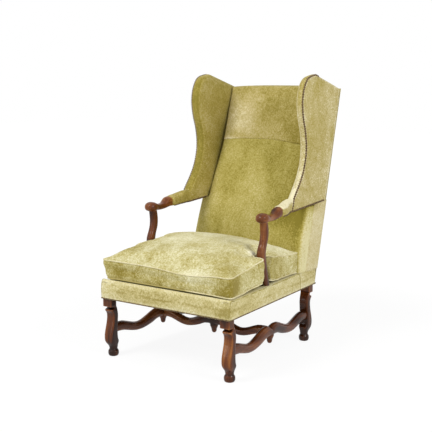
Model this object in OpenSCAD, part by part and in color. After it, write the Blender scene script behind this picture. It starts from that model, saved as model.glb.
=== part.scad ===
// High-backed wing armchair on carved sheep-bone legs, with wave stretchers,
// open carved arms and a loose cushion notched round the arm posts.
// Millimetres. The chair faces -Y, +Z is up, and +X is the right side seen from the front.
// The origin lies on the floor, in the middle of the chair's width and depth.

/* [Seat] */
// Width of the seat across the front, over the cover
seat_front_w = 649; // [560:1:780]
// Width of the seat across the back, over the cover
seat_back_w = 584; // [500:1:640]
// Depth of the seat, over the cover
seat_d = 730; // [600:1:890]
// Height of the seat deck above the floor
seat_h = 327; // [265:1:390]
// Height of the covered band round the seat
band_h = 74; // [66:1:92]
// Height of the hardwood seat rails
rail_h = 60; // [48:1:62]
// Thickness of the hardwood rails
rail_t = 25; // [20:1:30]
// Thickness of the cover cloth with its wadding
cover_t = 3; // [2:0.5:4]

/* [Legs] */
// Width of a leg at its square block
leg_w = 46; // [38:1:56]
// Depth of the square block
block_d = 35; // [30:1:38]
// Height of block that shows below the band
block_show = 35; // [25:1:50]
// Widest diameter of the round foot
foot_d = 46; // [38:1:54]

/* [Stretchers] */
// Width of a stretcher
stretcher_w = 38; // [30:1:44]
// Height of the stretchers' top at the legs, above the floor
stretcher_h = 143; // [118:1:155]
// Depth that a stretcher end is housed in the piece it meets
housing = 6; // [4:0.5:8]

/* [Back] */
// Height of the back's top edge above the floor
back_h = 1122; // [900:1:1300]
// Rake of the outside back from upright, in degrees
back_rake = 14.36; // [8:0.02:18]
// Thickness of the back at its top edge
back_top_t = 68; // [60:1:90]
// Height of the seam between the upper and the lower back panel
seam_h = 891; // [780:1:930]
// Rise of the arched seam at its middle
seam_rise = 14; // [6:1:24]
// Width of a back post
post_w = 36; // [32:1:44]
// Thickness of a back post, front to back
post_t = 35; // [28:1:40]

/* [Arms and wings] */
// Height of the arm's underside at the collar, above the floor
arm_h = 598; // [560:1:660]
// Rise of the arm's underside for each millimetre towards the back
arm_slope = 0.061; // [0:0.001:0.08]
// Distance from the seat front to the collar where the pad begins
collar_y = 421; // [395:1:450]
// Rise of the wing tips above the back's top edge
wing_rise = 63; // [40:1:90]
// Thickness of the wooden wing board
wing_board_t = 20; // [16:1:23]
// Distance from the seat front to the foot of the arm post
arm_post_y = 326; // [305:1:336]

/* [Cushion] */
// Thickness of the cushion at its piped edge
cushion_t = 103; // [85:1:124]
// Rise of the cushion's crown above its edge
cushion_crown = 46; // [20:1:55]
// Diameter of the piping
piping_d = 6; // [4:0.5:8]
// Gap between the cushion and what stands beside it
cushion_gap = 6; // [3:0.5:10]

/* [Hidden] */
$fn = 48;

walnut = "#5a2e1b";
beech = "#c8a373";
velvet = "#a9a153";
velvet_dark = "#8c8a3c";
braid = "#3c2c1c";
jute = "#b79d6b";
steel = "#8b8d90";

fit = 0.2;                       // running gap round a tenon or a housed end
gap = 0.3;                       // gap between soft pieces
trim_t = 1.5;                    // trim standing proud of the cover
trim_h = 7;                      // width of the trim
web_t = 1;                       // thickness of one layer of webbing, and of hessian
web_w = 50;                      // width of a webbing strap
tenon_t = 9;                     // thickness of a rail tenon
tenon_l = 18;                    // length of a rail tenon

// Plan of the seat: the front edge, and the half width at any depth
rake = tan(back_rake);
total_d = seat_d + rake*(back_h - (seat_h - band_h)) + trim_t;
y_front = -total_d/2 + trim_t;
y_back = y_front + seat_d;
function half_w(y) = seat_front_w/2 - (seat_front_w - seat_back_w)/2*(y - y_front)/seat_d;
function rail_x(y) = half_w(y) - cover_t;
side_x = seat_back_w/2;          // outside of the back and the wings
frame_x = side_x - cover_t;      // outside of the back posts

// Heights of the seat frame
band_z = seat_h - band_h;
rail_z = band_z + 3*web_t;
rail_top = rail_z + rail_h;
deck_z = rail_top + web_t;

// Planes of the raked back, by depth in from its outside
function back_y(z, inset = 0) = y_back + rake*(z - band_z) - inset;
post_in = cover_t + post_t;      // depth of the posts' front plane
pad_in = post_in + 2*web_t + gap;  // depth of the back of the stuffing

// Front of the inside back: near upright behind the cushion, then raked
lumbar = [
    [y_front + 592, seat_h],
    [y_front + 602, seat_h + 90],
    [y_front + 645, seat_h + 218],
    [y_front + 722, seat_h + 400],
    [back_y(back_h, back_top_t), back_h]
];

// Leg places: outside faces flush with the rails
block_out = leg_w/2;
front_leg_x = rail_x(y_front + cover_t + block_d) - block_out;
front_foot_y = y_front + cover_t + block_d + 2;
rear_leg_x = frame_x - block_out;
rear_foot_y = y_back - block_d - 2;
shoulder_z = band_z - block_show;
ankle_z = 38;

// Stretcher line through the leg centres
mid_y = (front_foot_y + rear_foot_y)/2;
mid_x = (front_leg_x + rear_leg_x)/2;
side_half = norm([front_leg_x - rear_leg_x, rear_foot_y - front_foot_y])/2;
side_turn = atan((front_leg_x - rear_leg_x)/(rear_foot_y - front_foot_y));
cross_half = mid_x - stretcher_w/2 + housing;

// Arms: the underside's line, and the wing's foot
arm_x = side_x - 6;
collar = y_front + collar_y;
function arm_z(y) = arm_h + arm_slope*(y - collar);
// Where the arm's underside line meets a plane of the raked back
function arm_meets(inset) =
    (y_back - inset + rake*(arm_h - arm_slope*collar - band_z))/(1 - rake*arm_slope);
wing_foot_y = collar + 101;
arm_bar_t = wing_board_t + 3;
arm_bar_x = frame_x - arm_bar_t;
post_y = y_front + arm_post_y;
post_x = arm_x - 1;
post_seat_z = arm_h - 5;

// ---------- curves and skins ----------

// A point between rows i and i+1 of a list, on a smooth curve through all its rows
function curve_at(rows, t) =
    let (last = len(rows) - 1, i = min(floor(t), last - 1), u = t - i,
         a = rows[max(i - 1, 0)], b = rows[i], c = rows[i + 1], d = rows[min(i + 2, last)])
    0.5*(2*b + (c - a)*u + (2*a - 5*b + 4*c - d)*u*u + (3*b - a - 3*c + d)*u*u*u);

// The whole curve, with a number of steps between rows
function curve(rows, steps) = [for (k = [0:steps*(len(rows) - 1)]) curve_at(rows, k/steps)];

// Points round a softened square: softness 2 is an ellipse, and more is squarer
function soft_square(hx, hy, softness, count) =
    [for (i = [0:count - 1]) let (a = 360*(i + 0.5)/count, c = cos(a), s = sin(a))
        [hx*sign(c)*pow(abs(c), 2/softness), hy*sign(s)*pow(abs(s), 2/softness)]];

// A closed skin over rings of as many points each
module skin(rings) {
    m = len(rings[0]);
    n = len(rings);
    sides = [for (k = [0:n - 2], i = [0:m - 1])
        let (j = (i + 1)%m, a = k*m + i, b = k*m + j)
        each [[a, a + m, b], [b, a + m, b + m]]];
    bottom = [for (i = [0:m - 1]) i];
    top = [for (i = [m - 1:-1:0]) (n - 1)*m + i];
    polyhedron([for (r = rings) each r], concat([bottom], sides, [top]));
}

// A side view, given as [y, z] points, stood up between two planes across the chair
module profile(points, x0, x1) {
    translate([x0, 0, 0]) rotate([90, 0, 90]) linear_extrude(x1 - x0) polygon(points);
}

// A raked slab between two depths in from the outside back
module raked(z0, z1, in_front, in_back, x0, x1) {
    profile([[back_y(z0, in_front), z0], [back_y(z0, in_back), z0],
             [back_y(z1, in_back), z1], [back_y(z1, in_front), z1]], x0, x1);
}

// A plan view stood up between two heights
module plan(points, z0, z1) {
    translate([0, 0, z0]) linear_extrude(z1 - z0) polygon(points);
}

module left() {
    mirror([1, 0, 0]) children();
}

// ---------- legs ----------

// The carving, as [height, front, back, half width, softness], with heights as shares of the
// way from ankle to shoulder and depths as shares of the block's half width
leg_rows = [
    [-0.02, -0.78, 0.78, 0.78, 2.0],
    [0.03, -0.84, 0.82, 0.82, 2.2],
    [0.08, -1.10, 0.84, 0.92, 2.8],
    [0.14, -1.36, 0.90, 1.00, 4.0],
    [0.21, -1.44, 0.58, 1.02, 5.0],
    [0.33, -1.35, 0.42, 1.02, 6.0],
    [0.48, -1.05, 0.45, 1.00, 6.0],
    [0.63, -0.74, 0.54, 0.97, 6.0],
    [0.76, -0.64, 0.64, 0.96, 6.0],
    [0.84, -0.80, 0.58, 0.97, 6.0],
    [0.89, -1.14, 0.50, 0.98, 6.0],
    [0.915, -1.20, 0.46, 0.98, 6.0],
    [0.935, -0.95, 0.42, 0.97, 6.0],
    [0.955, -0.50, 0.36, 0.95, 6.0],
    [0.985, -0.44, 0.22, 0.95, 7.0],
    [1.01, -0.52, 0.10, 0.97, 8.0]
];
carve_out = 2;                   // the carving stands a little outside the block's middle

// Carved part of a front leg on its own foot centre, with square block, foot and pockets left out
module carved_leg() {
    h = shoulder_z - ankle_z;
    skin([for (r = curve(leg_rows, 2)) let (mid = (r[1] + r[2])/2*block_out, deep = (r[2] - r[1])/2*block_out)
        [for (p = soft_square(r[3]*block_out, deep, r[4], 20))
            [p[0] + carve_out*min(1, 8*max(0, r[0])), p[1] + mid, ankle_z + r[0]*h]]]);
}

// Turned foot: a flat-bottomed bun under the ankle
module foot() {
    r = foot_d/2;
    waist = r*0.74;
    rotate_extrude() polygon([
        [0, 0], [r - 4, 0],
        for (a = [-60:20:60]) [r - 4 + 4*cos(a), 14 + 12*sin(a)],
        [waist + 1, 28], [waist, 32], [waist, ankle_z + 2], [0, ankle_z + 2]]);
}

// Square block from the shoulder up to the top of the rails
module leg_block() {
    translate([-block_out, -block_d - 2, shoulder_z])
        cube([leg_w, block_d, rail_top - shoulder_z]);
}

module leg_solid() {
    carved_leg();
    foot();
    leg_block();
}

module front_leg_right() {
    color(walnut) difference() {
        translate([front_leg_x, front_foot_y, 0]) leg_solid();
        side_stretcher_end(-1, fit);
        front_tenon(fit);
        side_tenon_front(fit);
    }
}

module front_leg_left() {
    left() front_leg_right();
}

// The rear leg carries the raked back post in one piece
module rear_leg_right() {
    color(walnut) difference() {
        union() {
            difference() {
                translate([rear_leg_x, rear_foot_y, 0]) mirror([0, 1, 0]) leg_solid();
                raked(band_z, back_h, cover_t, -40, 0, side_x);
            }
            raked(rail_z, back_h - cover_t, post_in, cover_t, frame_x - post_w, frame_x);
        }
        side_stretcher_end(1, fit);
        rear_tenon(fit);
        side_tenon_rear(fit);
        back_rail_tenon(top_rail_z, top_rail_h, fit);
        back_rail_tenon(mid_rail_z, mid_rail_h, fit);
        arm_tenon(fit);
    }
}

module rear_leg_left() {
    left() rear_leg_right();
}

// ---------- stretchers ----------

// Half a stretcher, as [share of the half length, height over the stretcher's low point,
// thickness], from its middle to the leg: notch, scroll, trough and rise to the leg
wave_rows = [
    [0.00, 24, 30],
    [0.03, 28, 38],
    [0.09, 31, 45],
    [0.17, 29, 47],
    [0.27, 18, 48],
    [0.38, 7, 42],
    [0.49, 0, 37],
    [0.60, 2, 38],
    [0.72, 12, 41],
    [0.83, 22, 42],
    [0.93, 24.5, 41],
    [1.00, 24.5, 41]
];
wave_low = stretcher_h - 45;
cross_thin = 0.9;                // the cross stretcher's thickness, as a share of the others'

// Section of a stretcher: flat below, soft sides, and a ridge along the top
ridge_section = [
    [1, 0.05], [0.93, 0.45], [0.5, 0.82], [0, 1], [-0.5, 0.82], [-0.93, 0.45],
    [-1, 0.05], [-0.96, -0.6], [-0.7, -0.95], [0, -1], [0.7, -0.95], [0.96, -0.6]
];

function stretcher_ring(place, mid_z, thick, grow = 0) =
    [for (p = ridge_section) [-p[0]*(stretcher_w/2 + grow), place, mid_z + p[1]*(thick/2 + grow)]];

// Middle height and thickness along a stretcher: a thinner one keeps the top line
function wave_at(r, thin) = [wave_low + r[1] + r[2]*(1 - thin)/2, r[2]*thin];

// A stretcher along Y, centred, with a pendant under its middle
module stretcher(half, thin = 1) {
    side = [for (r = curve(wave_rows, 2)) concat([r[0]*half], wave_at(r, thin))];
    n = len(side) - 1;
    rows = concat([for (k = [n:-1:1]) [-side[k][0], side[k][1], side[k][2]]], side);
    skin([for (r = rows) stretcher_ring(r[0], r[1], r[2])]);
    translate([0, 0, wave_low - 20]) pendant();
}

// Stubby turned drop, hung from the notch and as wide as the stretcher at its top
module pendant() {
    r = stretcher_w/2;
    rotate_extrude() polygon([[0, -8], [0.3*r, -7], [0.5*r, -3], [0.6*r, 3], [0.62*r, 9],
                              [0.74*r, 15], [0.96*r, 24], [0.96*r, 42], [0, 42]]);
}

// Section of a stretcher's end, grown for the pocket that it is housed in
function end_section(thin, grow) =
    let (end = wave_at(wave_rows[len(wave_rows) - 1], thin))
    [for (p = ridge_section) [p[0]*(stretcher_w/2 + grow), end[0] + p[1]*(end[1]/2 + grow)]];

// The last stretch of a side stretcher, which is housed in a leg: way is -1 in front, 1 behind
module side_stretcher_end(way, grow) {
    place_side() translate([0, way > 0 ? side_half*0.93 : -side_half - grow, 0])
        rotate([90, 0, 0]) mirror([0, 0, 1]) linear_extrude(side_half*0.07 + grow)
            polygon(end_section(1, grow));
}

// The end of the cross stretcher, housed in the right side stretcher
module cross_stretcher_end(grow) {
    translate([cross_half*0.93, mid_y, 0])
        rotate([90, 0, 90]) linear_extrude(cross_half*0.07 + grow) polygon(end_section(cross_thin, grow));
}

module place_side() {
    translate([mid_x, mid_y, 0]) rotate([0, 0, side_turn]) children();
}

module side_stretcher_right() {
    color(walnut) difference() {
        place_side() stretcher(side_half);
        cross_stretcher_end(fit);
    }
}

module side_stretcher_left() {
    left() side_stretcher_right();
}

module cross_stretcher() {
    color(walnut) translate([0, mid_y, 0]) rotate([0, 0, 90]) stretcher(cross_half, cross_thin);
}

// ---------- arms ----------

// The carved front of an arm, as [share of its reach in front of the collar, height of the
// middle over the underside at the collar, half width, half height]
arm_rows = [
    [1.00, 12, 3, 3],
    [0.984, 12, 13, 10],
    [0.936, 12, 21.5, 16.5],
    [0.865, 12, 26.5, 20.5],
    [0.795, 12, 27.5, 21.5],
    [0.71, 11, 25, 19.5],
    [0.62, 8.5, 21, 16],
    [0.51, 6, 18.5, 14],
    [0.40, 6, 17.5, 14],
    [0.30, 8, 18, 15],
    [0.22, 13, 20, 18.5],
    [0.15, 18.5, 22, 22],
    [0.07, 21.5, 22.5, 23],
    [0.00, 22, 22.5, 23]
];
knob_front = 61;                 // the knob's end in front of the arm post's foot
arm_reach = collar_y - arm_post_y + knob_front;

module carved_arm() {
    skin([for (r = curve(arm_rows, 2))
        [for (p = soft_square(r[2], r[3], 2.5, 16))
            [arm_x - p[0], collar - r[0]*arm_reach, arm_h + r[1] + p[1]]]]);
}

// The plain rail of the arm, run inside the pad and tenoned into the back post
module arm_bar(x0, x1, low, high, y0, y1) {
    profile([[y0, arm_z(y0) + low], [y1, arm_z(y1) + low],
             [y1, arm_z(y1) + high], [y0, arm_z(y0) + high]], x0, x1);
}

arm_bar_low = 4;
arm_bar_high = 34;

// Bar up to the raked front plane of the back post
module arm_bar_solid() {
    z0 = arm_z(back_y(arm_h + 35, post_in)) + arm_bar_low;
    z1 = z0 + arm_bar_high - arm_bar_low;
    profile([[collar - 2, arm_z(collar - 2) + arm_bar_low], [back_y(z0, post_in), z0],
             [back_y(z1, post_in), z1], [collar - 2, arm_z(collar - 2) + arm_bar_high]], arm_bar_x, frame_x);
}

module arm_tenon(grow) {
    y = back_y(arm_h + 35, post_in);
    arm_bar(arm_bar_x + 6 - grow, frame_x - 6 + grow, arm_bar_low + 5 - grow, arm_bar_high - 5 + grow,
            y - 12, y + tenon_l + grow);
}

module arm_right() {
    color(walnut) difference() {
        union() {
            carved_arm();
            arm_bar_solid();
            arm_tenon(0);
        }
        translate([post_x, post_y - post_head, post_seat_z - 60]) cylinder(h = 60, r = post_half_w + 8.5);
        post_dowel(fit);
    }
}

module arm_left() {
    left() arm_right();
}

post_reach = 37;                 // how far the knuckle's middle stands forward of the foot
post_knuckle = 22;               // half thickness of the knuckle
post_head = 21;                  // how far the head stands forward of the foot
post_half_w = 16.5;              // half width of a post where it is widest
post_foot_t = 16;                // half thickness of its foot
dowel_r = 7;                     // radius of the dowels at its head and foot
dowel_l = 22;                    // length of the head's dowel, and depth of the foot's in the rail
dowel_bury = 8;                  // how far a dowel starts inside its post

// Centre line and thickness of an arm post, as [forward of its foot, share of its height,
// half width, half thickness]: foot, back curve, forward knuckle, back curve and head
post_rows = [
    [-1, -0.12, 15.5, post_foot_t],
    [0, 0.00, 15.5, post_foot_t],
    [6, 0.10, 14.5, post_foot_t],
    [15, 0.22, 14.5, 17],
    [26, 0.35, 15.5, 19],
    [post_reach - 1, 0.47, post_half_w, post_knuckle],
    [post_reach, 0.56, post_half_w, post_knuckle - 1],
    [27, 0.66, 15.5, 18],
    [17, 0.76, 16, 18.5],
    [15, 0.87, post_half_w, 18.5],
    [post_head, 1.00, 16, 18],
    [post_head + 4, 1.08, 16, 18]
];

function post_point(r) = [post_y - r[0], rail_top + r[1]*(post_seat_z - rail_top), r[2], r[3]];

module arm_post_right() {
    rows = curve([for (r = post_rows) post_point(r)], 2);
    n = len(rows);
    rings = [for (k = [0:n - 1])
        let (a = rows[max(k - 1, 0)], b = rows[min(k + 1, n - 1)], r = rows[k],
             run = norm([b[0] - a[0], b[1] - a[1]]), ty = (b[0] - a[0])/run, tz = (b[1] - a[1])/run)
        [for (p = soft_square(r[2], r[3], 2.4, 14)) [post_x + p[0], r[0] + p[1]*tz, r[1] - p[1]*ty]]];
    color(walnut) {
        intersection() {
            skin(rings);
            translate([post_x - 40, post_y - 120, rail_top]) cube([80, 200, post_seat_z - rail_top]);
        }
        post_dowel(0);
        post_foot_tenon(0);
    }
}

module arm_post_left() {
    left() arm_post_right();
}

module post_dowel(grow) {
    translate([post_x, post_y - post_head, post_seat_z - dowel_bury])
        cylinder(h = dowel_l + grow, r = dowel_r + grow);
}

module post_foot_tenon(grow) {
    translate([post_x + 3, post_y, rail_top - dowel_l - grow])
        cylinder(h = dowel_l + dowel_bury + grow, r = dowel_r + grow);
}

// Hole that the deck's cloth and stuffing leave round the foot of an arm post
post_room = 4;                   // room left behind the foot
lean_room = 10;                  // room left before the foot, where the post leans forward
module post_hole() {
    translate([post_x - post_half_w - 1.5 - gap, post_y - post_foot_t - lean_room, band_z])
        cube([60, lean_room + 2*post_foot_t + post_room, band_h + 20]);
}

// ---------- seat frame ----------

front_in = front_leg_x - block_out;                  // inner face of a front block
rear_in = rear_leg_x - block_out;                    // inner face of a rear block
front_block_y = y_front + cover_t + block_d;         // rear face of a front block
rear_block_y = y_back - block_d;                     // front face of a rear block
tenon_z = rail_z + 10;
tenon_h = rail_h - 20;

module front_tenon(grow) {
    y = y_front + cover_t + (rail_t - tenon_t)/2;
    translate([front_in - 10, y - grow, tenon_z - grow])
        cube([10 + tenon_l + grow, tenon_t + 2*grow, tenon_h + 2*grow]);
}

module rear_tenon(grow) {
    y = y_back - cover_t - (rail_t + tenon_t)/2;
    translate([rear_in - 10, y - grow, tenon_z - grow])
        cube([10 + tenon_l + grow, tenon_t + 2*grow, tenon_h + 2*grow]);
}

// A strip along the side, between two insets from the rail's outside face
function side_strip(y0, y1, in0, in1) =
    [[rail_x(y0) - in1, y0], [rail_x(y0) - in0, y0], [rail_x(y1) - in0, y1], [rail_x(y1) - in1, y1]];

module side_tenon_front(grow) {
    plan(side_strip(front_block_y - tenon_l - grow, front_block_y + 8, 8 - grow, 8 + tenon_t + grow),
         tenon_z - grow, tenon_z + tenon_h + grow);
}

module side_tenon_rear(grow) {
    plan(side_strip(rear_block_y - 8, rear_block_y + tenon_l + grow, 8 - grow, 8 + tenon_t + grow),
         tenon_z - grow, tenon_z + tenon_h + grow);
}

module front_rail() {
    color(beech) {
        translate([-front_in, y_front + cover_t, rail_z]) cube([2*front_in, rail_t, rail_h]);
        front_tenon(0);
        left() front_tenon(0);
    }
}

module rear_rail() {
    color(beech) {
        translate([-rear_in, y_back - cover_t - rail_t, rail_z]) cube([2*rear_in, rail_t, rail_h]);
        rear_tenon(0);
        left() rear_tenon(0);
    }
}

module side_rail_right() {
    color(beech) difference() {
        union() {
            difference() {
                plan(side_strip(front_block_y, rear_block_y, 0, rail_t), rail_z, rail_top);
                raked(rail_z - 1, rail_top + 1, post_in + fit, 0, 0, side_x);
            }
            side_tenon_front(0);
            side_tenon_rear(0);
        }
        post_foot_tenon(fit);
    }
}

module side_rail_left() {
    left() side_rail_right();
}

// Glued blocks that brace the corners, cut round the leg blocks
module corner_blocks() {
    reach = 60;
    front_y = y_front + cover_t + rail_t;
    rear_y = y_back - cover_t - rail_t;
    front = [[front_in - reach, front_y], [front_in, front_y], [front_in, front_block_y],
             [rail_x(front_block_y) - rail_t, front_block_y],
             [rail_x(front_block_y + reach) - rail_t, front_block_y + reach]];
    y = back_y(rail_z, post_in) - fit;
    rear = [[rear_in - reach, rear_y], [rear_in, rear_y], [rear_in, y],
            [rail_x(y) - rail_t, y], [rail_x(y - reach) - rail_t, y - reach]];
    color(beech) for (side = [0, 1]) mirror([side, 0, 0]) {
        plan(front, rail_z + 8, rail_z + 44);
        plan(rear, rail_z + 8, rail_z + 44);
    }
}

// ---------- back frame ----------

post_in_x = frame_x - post_w;                        // inner face of a back post
top_rail_h = 50;
top_rail_z = back_h - cover_t - top_rail_h;
mid_rail_h = 45;
mid_rail_z = arm_h + 15;
bottom_rail_h = 45;
bottom_rail_z = rail_top + 40;

module back_rail_tenon(z, h, grow) {
    raked(z + 8 - grow, z + h - 8 + grow, post_in - 12 + grow, cover_t + 12 - grow,
          post_in_x - 10, post_in_x + tenon_l + grow);
}

module back_rail(z, h) {
    color(beech) raked(z, z + h, post_in, cover_t + 8, -post_in_x, post_in_x);
}

module tenoned_back_rail(z, h) {
    back_rail(z, h);
    color(beech) {
        back_rail_tenon(z, h, 0);
        left() back_rail_tenon(z, h, 0);
    }
}

module back_top_rail() {
    tenoned_back_rail(top_rail_z, top_rail_h);
}

module back_mid_rail() {
    tenoned_back_rail(mid_rail_z, mid_rail_h);
}

module back_bottom_rail() {
    back_rail(bottom_rail_z, bottom_rail_h);
}

// ---------- wings ----------

// Front edge of a wing, as [distance behind the seat front, share of the height from arm to tip]
wing_edge = [
    [544, 0.115],
    [602, 0.24],
    [632, 0.345],
    [644, 0.455],
    [635, 0.575],
    [613, 0.688],
    [604, 0.80],
    [617, 0.90],
    [652, 0.974],
    [719, 1.00]
];
wing_tip = back_h + wing_rise;

// Outline of a wing: foot, front edge, tip, sloped top, back line and arm line
function wing_outline(inset = 0) =
    let (edge = curve([for (r = wing_edge) [y_front + r[0], arm_h + r[1]*(wing_tip - arm_h)]], 4),
         n = len(edge),
         front = [for (k = [0:n - 1])
             let (a = edge[max(k - 1, 0)], b = edge[min(k + 1, n - 1)], run = norm(b - a))
             edge[k] + inset*[(b[1] - a[1]), -(b[0] - a[0])]/run])
    concat([[wing_foot_y + inset, arm_z(wing_foot_y) + inset]], front,
           [[back_y(back_h) - inset, back_h - inset], [arm_meets(inset), arm_z(arm_meets(inset)) + inset]]);

// Everything behind the front plane of the back posts, up to the top edge
module behind_posts(x0, x1, in_front = post_in) {
    raked(band_z, back_h, in_front, -40, x0, x1);
}

module wing_board_right() {
    roll = 12;
    color(beech) difference() {
        profile(wing_outline(roll), frame_x - wing_board_t, frame_x);
        behind_posts(0, side_x);
        arm_bar(0, side_x, -60, arm_bar_high, collar, y_back + 200);
    }
}

module wing_board_left() {
    left() wing_board_right();
}

module wing_pad_right() {
    color(velvet_dark) difference() {
        profile(wing_outline(), post_in_x, frame_x);
        wing_board_right();
        behind_posts(0, side_x);
        arm_bar_solid();
    }
}

module wing_pad_left() {
    left() wing_pad_right();
}

module wing_cover_right() {
    color(velvet) profile(wing_outline(), frame_x, side_x);
}

module wing_cover_left() {
    left() wing_cover_right();
}

// Nailed trim along the front edge, the top and the arm line of the outer panel
module wing_trim_right() {
    color(braid) difference() {
        profile(wing_outline(0.5), side_x, side_x + trim_t);
        profile(wing_outline(trim_h), side_x - 1, side_x + trim_t + 1);
        raked(arm_h + 40, back_h - 2, 20, -20, side_x - 1, side_x + trim_t + 1);
    }
}

module wing_trim_left() {
    left() wing_trim_right();
}

// Stuffed pad on the arm, from the collar back to the wing
module arm_pad_right() {
    top = arm_h + 46;
    y1 = wing_foot_y + 40;
    side = [[collar, arm_z(collar)], [wing_foot_y, arm_z(wing_foot_y)], [y1, arm_z(y1) + 6],
            [y1, top + 20], [wing_foot_y, top + 14], [wing_foot_y - 40, top + 4], [collar, top - 1]];
    shape = [[arm_x - 22.5, collar], [arm_x + 22.5, collar], [side_x, wing_foot_y], [side_x, y1],
             [post_in_x, y1], [post_in_x, wing_foot_y]];
    color(velvet) difference() {
        intersection() {
            profile(side, 0, side_x + 40);
            plan(shape, arm_h - 50, arm_h + 150);
        }
        profile(wing_outline(), 0, side_x + 40);
        arm_bar_solid();
    }
}

module arm_pad_left() {
    left() arm_pad_right();
}

// ---------- back upholstery ----------

function inside_back() = curve(lumbar, 3);

// Side view of the stuffing, down to the seat frame
function back_stuffing() = concat(
    [[lumbar[0][0], deck_z]], inside_back(),
    [[back_y(back_h, pad_in), back_h], [back_y(deck_z, pad_in), deck_z]]);

seam_r = (post_in_x*post_in_x + seam_rise*seam_rise)/(2*seam_rise);

module under_seam(grow) {
    translate([0, y_back + 400, seam_h - seam_r]) rotate([90, 0, 0])
        cylinder(h = 900, r = seam_r + grow, $fn = 720);
}

module back_pad_lower() {
    color(velvet_dark) {
        intersection() {
            profile(back_stuffing(), -post_in_x, post_in_x);
            under_seam(0);
        }
        for (side = [0, 1]) mirror([side, 0, 0]) difference() {
            profile(back_stuffing(), post_in_x - 1, frame_x);
            translate([0, y_front, arm_h]) rotate([atan(arm_slope), 0, 0])
                translate([0, 0, arm_slope*-collar_y - gap]) cube([400, 1200, 800]);
            behind_posts(0, side_x);
        }
    }
}

module back_pad_upper() {
    color(velvet) difference() {
        profile(back_stuffing(), -post_in_x, post_in_x);
        under_seam(gap);
    }
}

// Cloth on the outside back, turned over the top rail
module back_cover() {
    color(velvet) {
        raked(band_z, back_h - cover_t, cover_t, 0, -frame_x, frame_x);
        raked(back_h - cover_t, back_h, post_in, 0, -frame_x, frame_x);
        raked(back_h - cover_t, back_h, pad_in, 0, -post_in_x, post_in_x);
    }
}

// Cloth on the side of the back, from the seat up to the arm
module back_side_right() {
    low = [for (p = inside_back()) if (p[1] < arm_h - 20) p];
    y = arm_meets(0);
    front = lookup(arm_h + 10, [for (p = inside_back()) [p[1], p[0]]]);
    color(velvet) profile(concat(low, [[front, arm_z(front)], [y, arm_z(y)], [back_y(seat_h), seat_h]]),
                          frame_x, side_x);
}

module back_side_left() {
    left() back_side_right();
}

// Straps across the posts and down the rails, with the stuffing laid on them
module back_webbing() {
    color(jute) {
        for (z = [bottom_rail_z + 80:95:top_rail_z - 60])
            raked(z, z + web_w, post_in + web_t, post_in, -post_in_x + gap, post_in_x - gap);
        for (x = [-2:2])
            raked(bottom_rail_z + 6, back_h - 12, post_in + 2*web_t, post_in + web_t,
                  x*88 - web_w/2, x*88 + web_w/2);
    }
}

// ---------- seat upholstery ----------

// Plan of the frame, in from its outside faces
function frame_plan(inset, y1) =
    let (y0 = y_front + cover_t + inset)
    [[-rail_x(y0) + inset, y0], [rail_x(y0) - inset, y0], [rail_x(y1) - inset, y1], [-rail_x(y1) + inset, y1]];

module seat_band_front() {
    color(velvet) plan([[-half_w(y_front), y_front], [half_w(y_front), y_front],
                        [half_w(y_front + cover_t), y_front + cover_t],
                        [-half_w(y_front + cover_t), y_front + cover_t]], band_z, seat_h);
}

module seat_band_right() {
    color(velvet) {
        plan(side_strip(y_front + cover_t, y_back, -cover_t, 0), band_z, seat_h);
        profile([[y_back, band_z], [back_y(seat_h), seat_h], [y_back, seat_h]], frame_x, side_x);
    }
}

module seat_band_left() {
    left() seat_band_right();
}

module trim_front() {
    color(braid) plan([[-half_w(y_front), y_front - trim_t], [half_w(y_front), y_front - trim_t],
                       [half_w(y_front), y_front], [-half_w(y_front), y_front]], band_z, band_z + trim_h);
}

module trim_right() {
    color(braid) plan(side_strip(y_front, y_back, -cover_t - trim_t, -cover_t), band_z, band_z + trim_h);
}

module trim_left() {
    left() trim_right();
}

module trim_rear() {
    color(braid) raked(band_z, band_z + trim_h, 0, -trim_t, -side_x, side_x);
}

module leg_corners(grow) {
    for (side = [0, 1]) mirror([side, 0, 0]) {
        translate([front_in - grow, y_front, 0]) cube([leg_w + 60, cover_t + block_d + grow, rail_top]);
        translate([rear_in - grow, rear_block_y - grow, 0]) cube([leg_w + 60, block_d + 60, rail_top]);
    }
}

module dust_cover() {
    color("#2b2926") difference() {
        plan(frame_plan(4, y_back - cover_t - 4), band_z, band_z + web_t);
        leg_corners(1);
    }
}

strap_across = [for (k = [0:4]) y_front + 150 + k*(seat_d - 300)/4];
strap_step = (rear_in - web_w/2 - 6)/2;              // the outer straps clear the rear legs
strap_along = [for (k = [-2:2]) k*strap_step];

module seat_webbing() {
    color(jute) {
        for (y = strap_across)
            plan([[-rail_x(y + web_w/2) + 6, y - web_w/2], [rail_x(y + web_w/2) - 6, y - web_w/2],
                  [rail_x(y + web_w/2) - 6, y + web_w/2], [-rail_x(y + web_w/2) + 6, y + web_w/2]],
                 band_z + web_t, band_z + 2*web_t);
        for (x = strap_along)
            translate([x - web_w/2, y_front + cover_t + 5, band_z + 2*web_t])
                cube([web_w, seat_d - 2*cover_t - 10, web_t]);
    }
}

// Waisted coil springs, stitched where the straps cross
spring_turns = 4;
module spring() {
    wire = 2;
    h = rail_top - rail_z - 2*wire;
    steps = 10;
    skin([for (k = [0:spring_turns*steps])
        let (t = k/(spring_turns*steps), a = 360*k/steps, r = 24 + 12*pow(abs(2*t - 1), 1.5),
             rise = t < 0.12 ? 0 : t > 0.88 ? 1 : (t - 0.12)/0.76)
        [for (i = [0:4]) let (b = 72*i + 18)
            [(r + wire*cos(b))*cos(a), (r + wire*cos(b))*sin(a), rail_z + wire + rise*h + wire*sin(b)]]]);
}

module seat_springs() {
    color(steel) for (y = [strap_across[1] - 30, strap_across[2], strap_across[3] + 30], x = [-1:1])
        translate([x*strap_step*1.6, y, 0]) spring();
}

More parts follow.
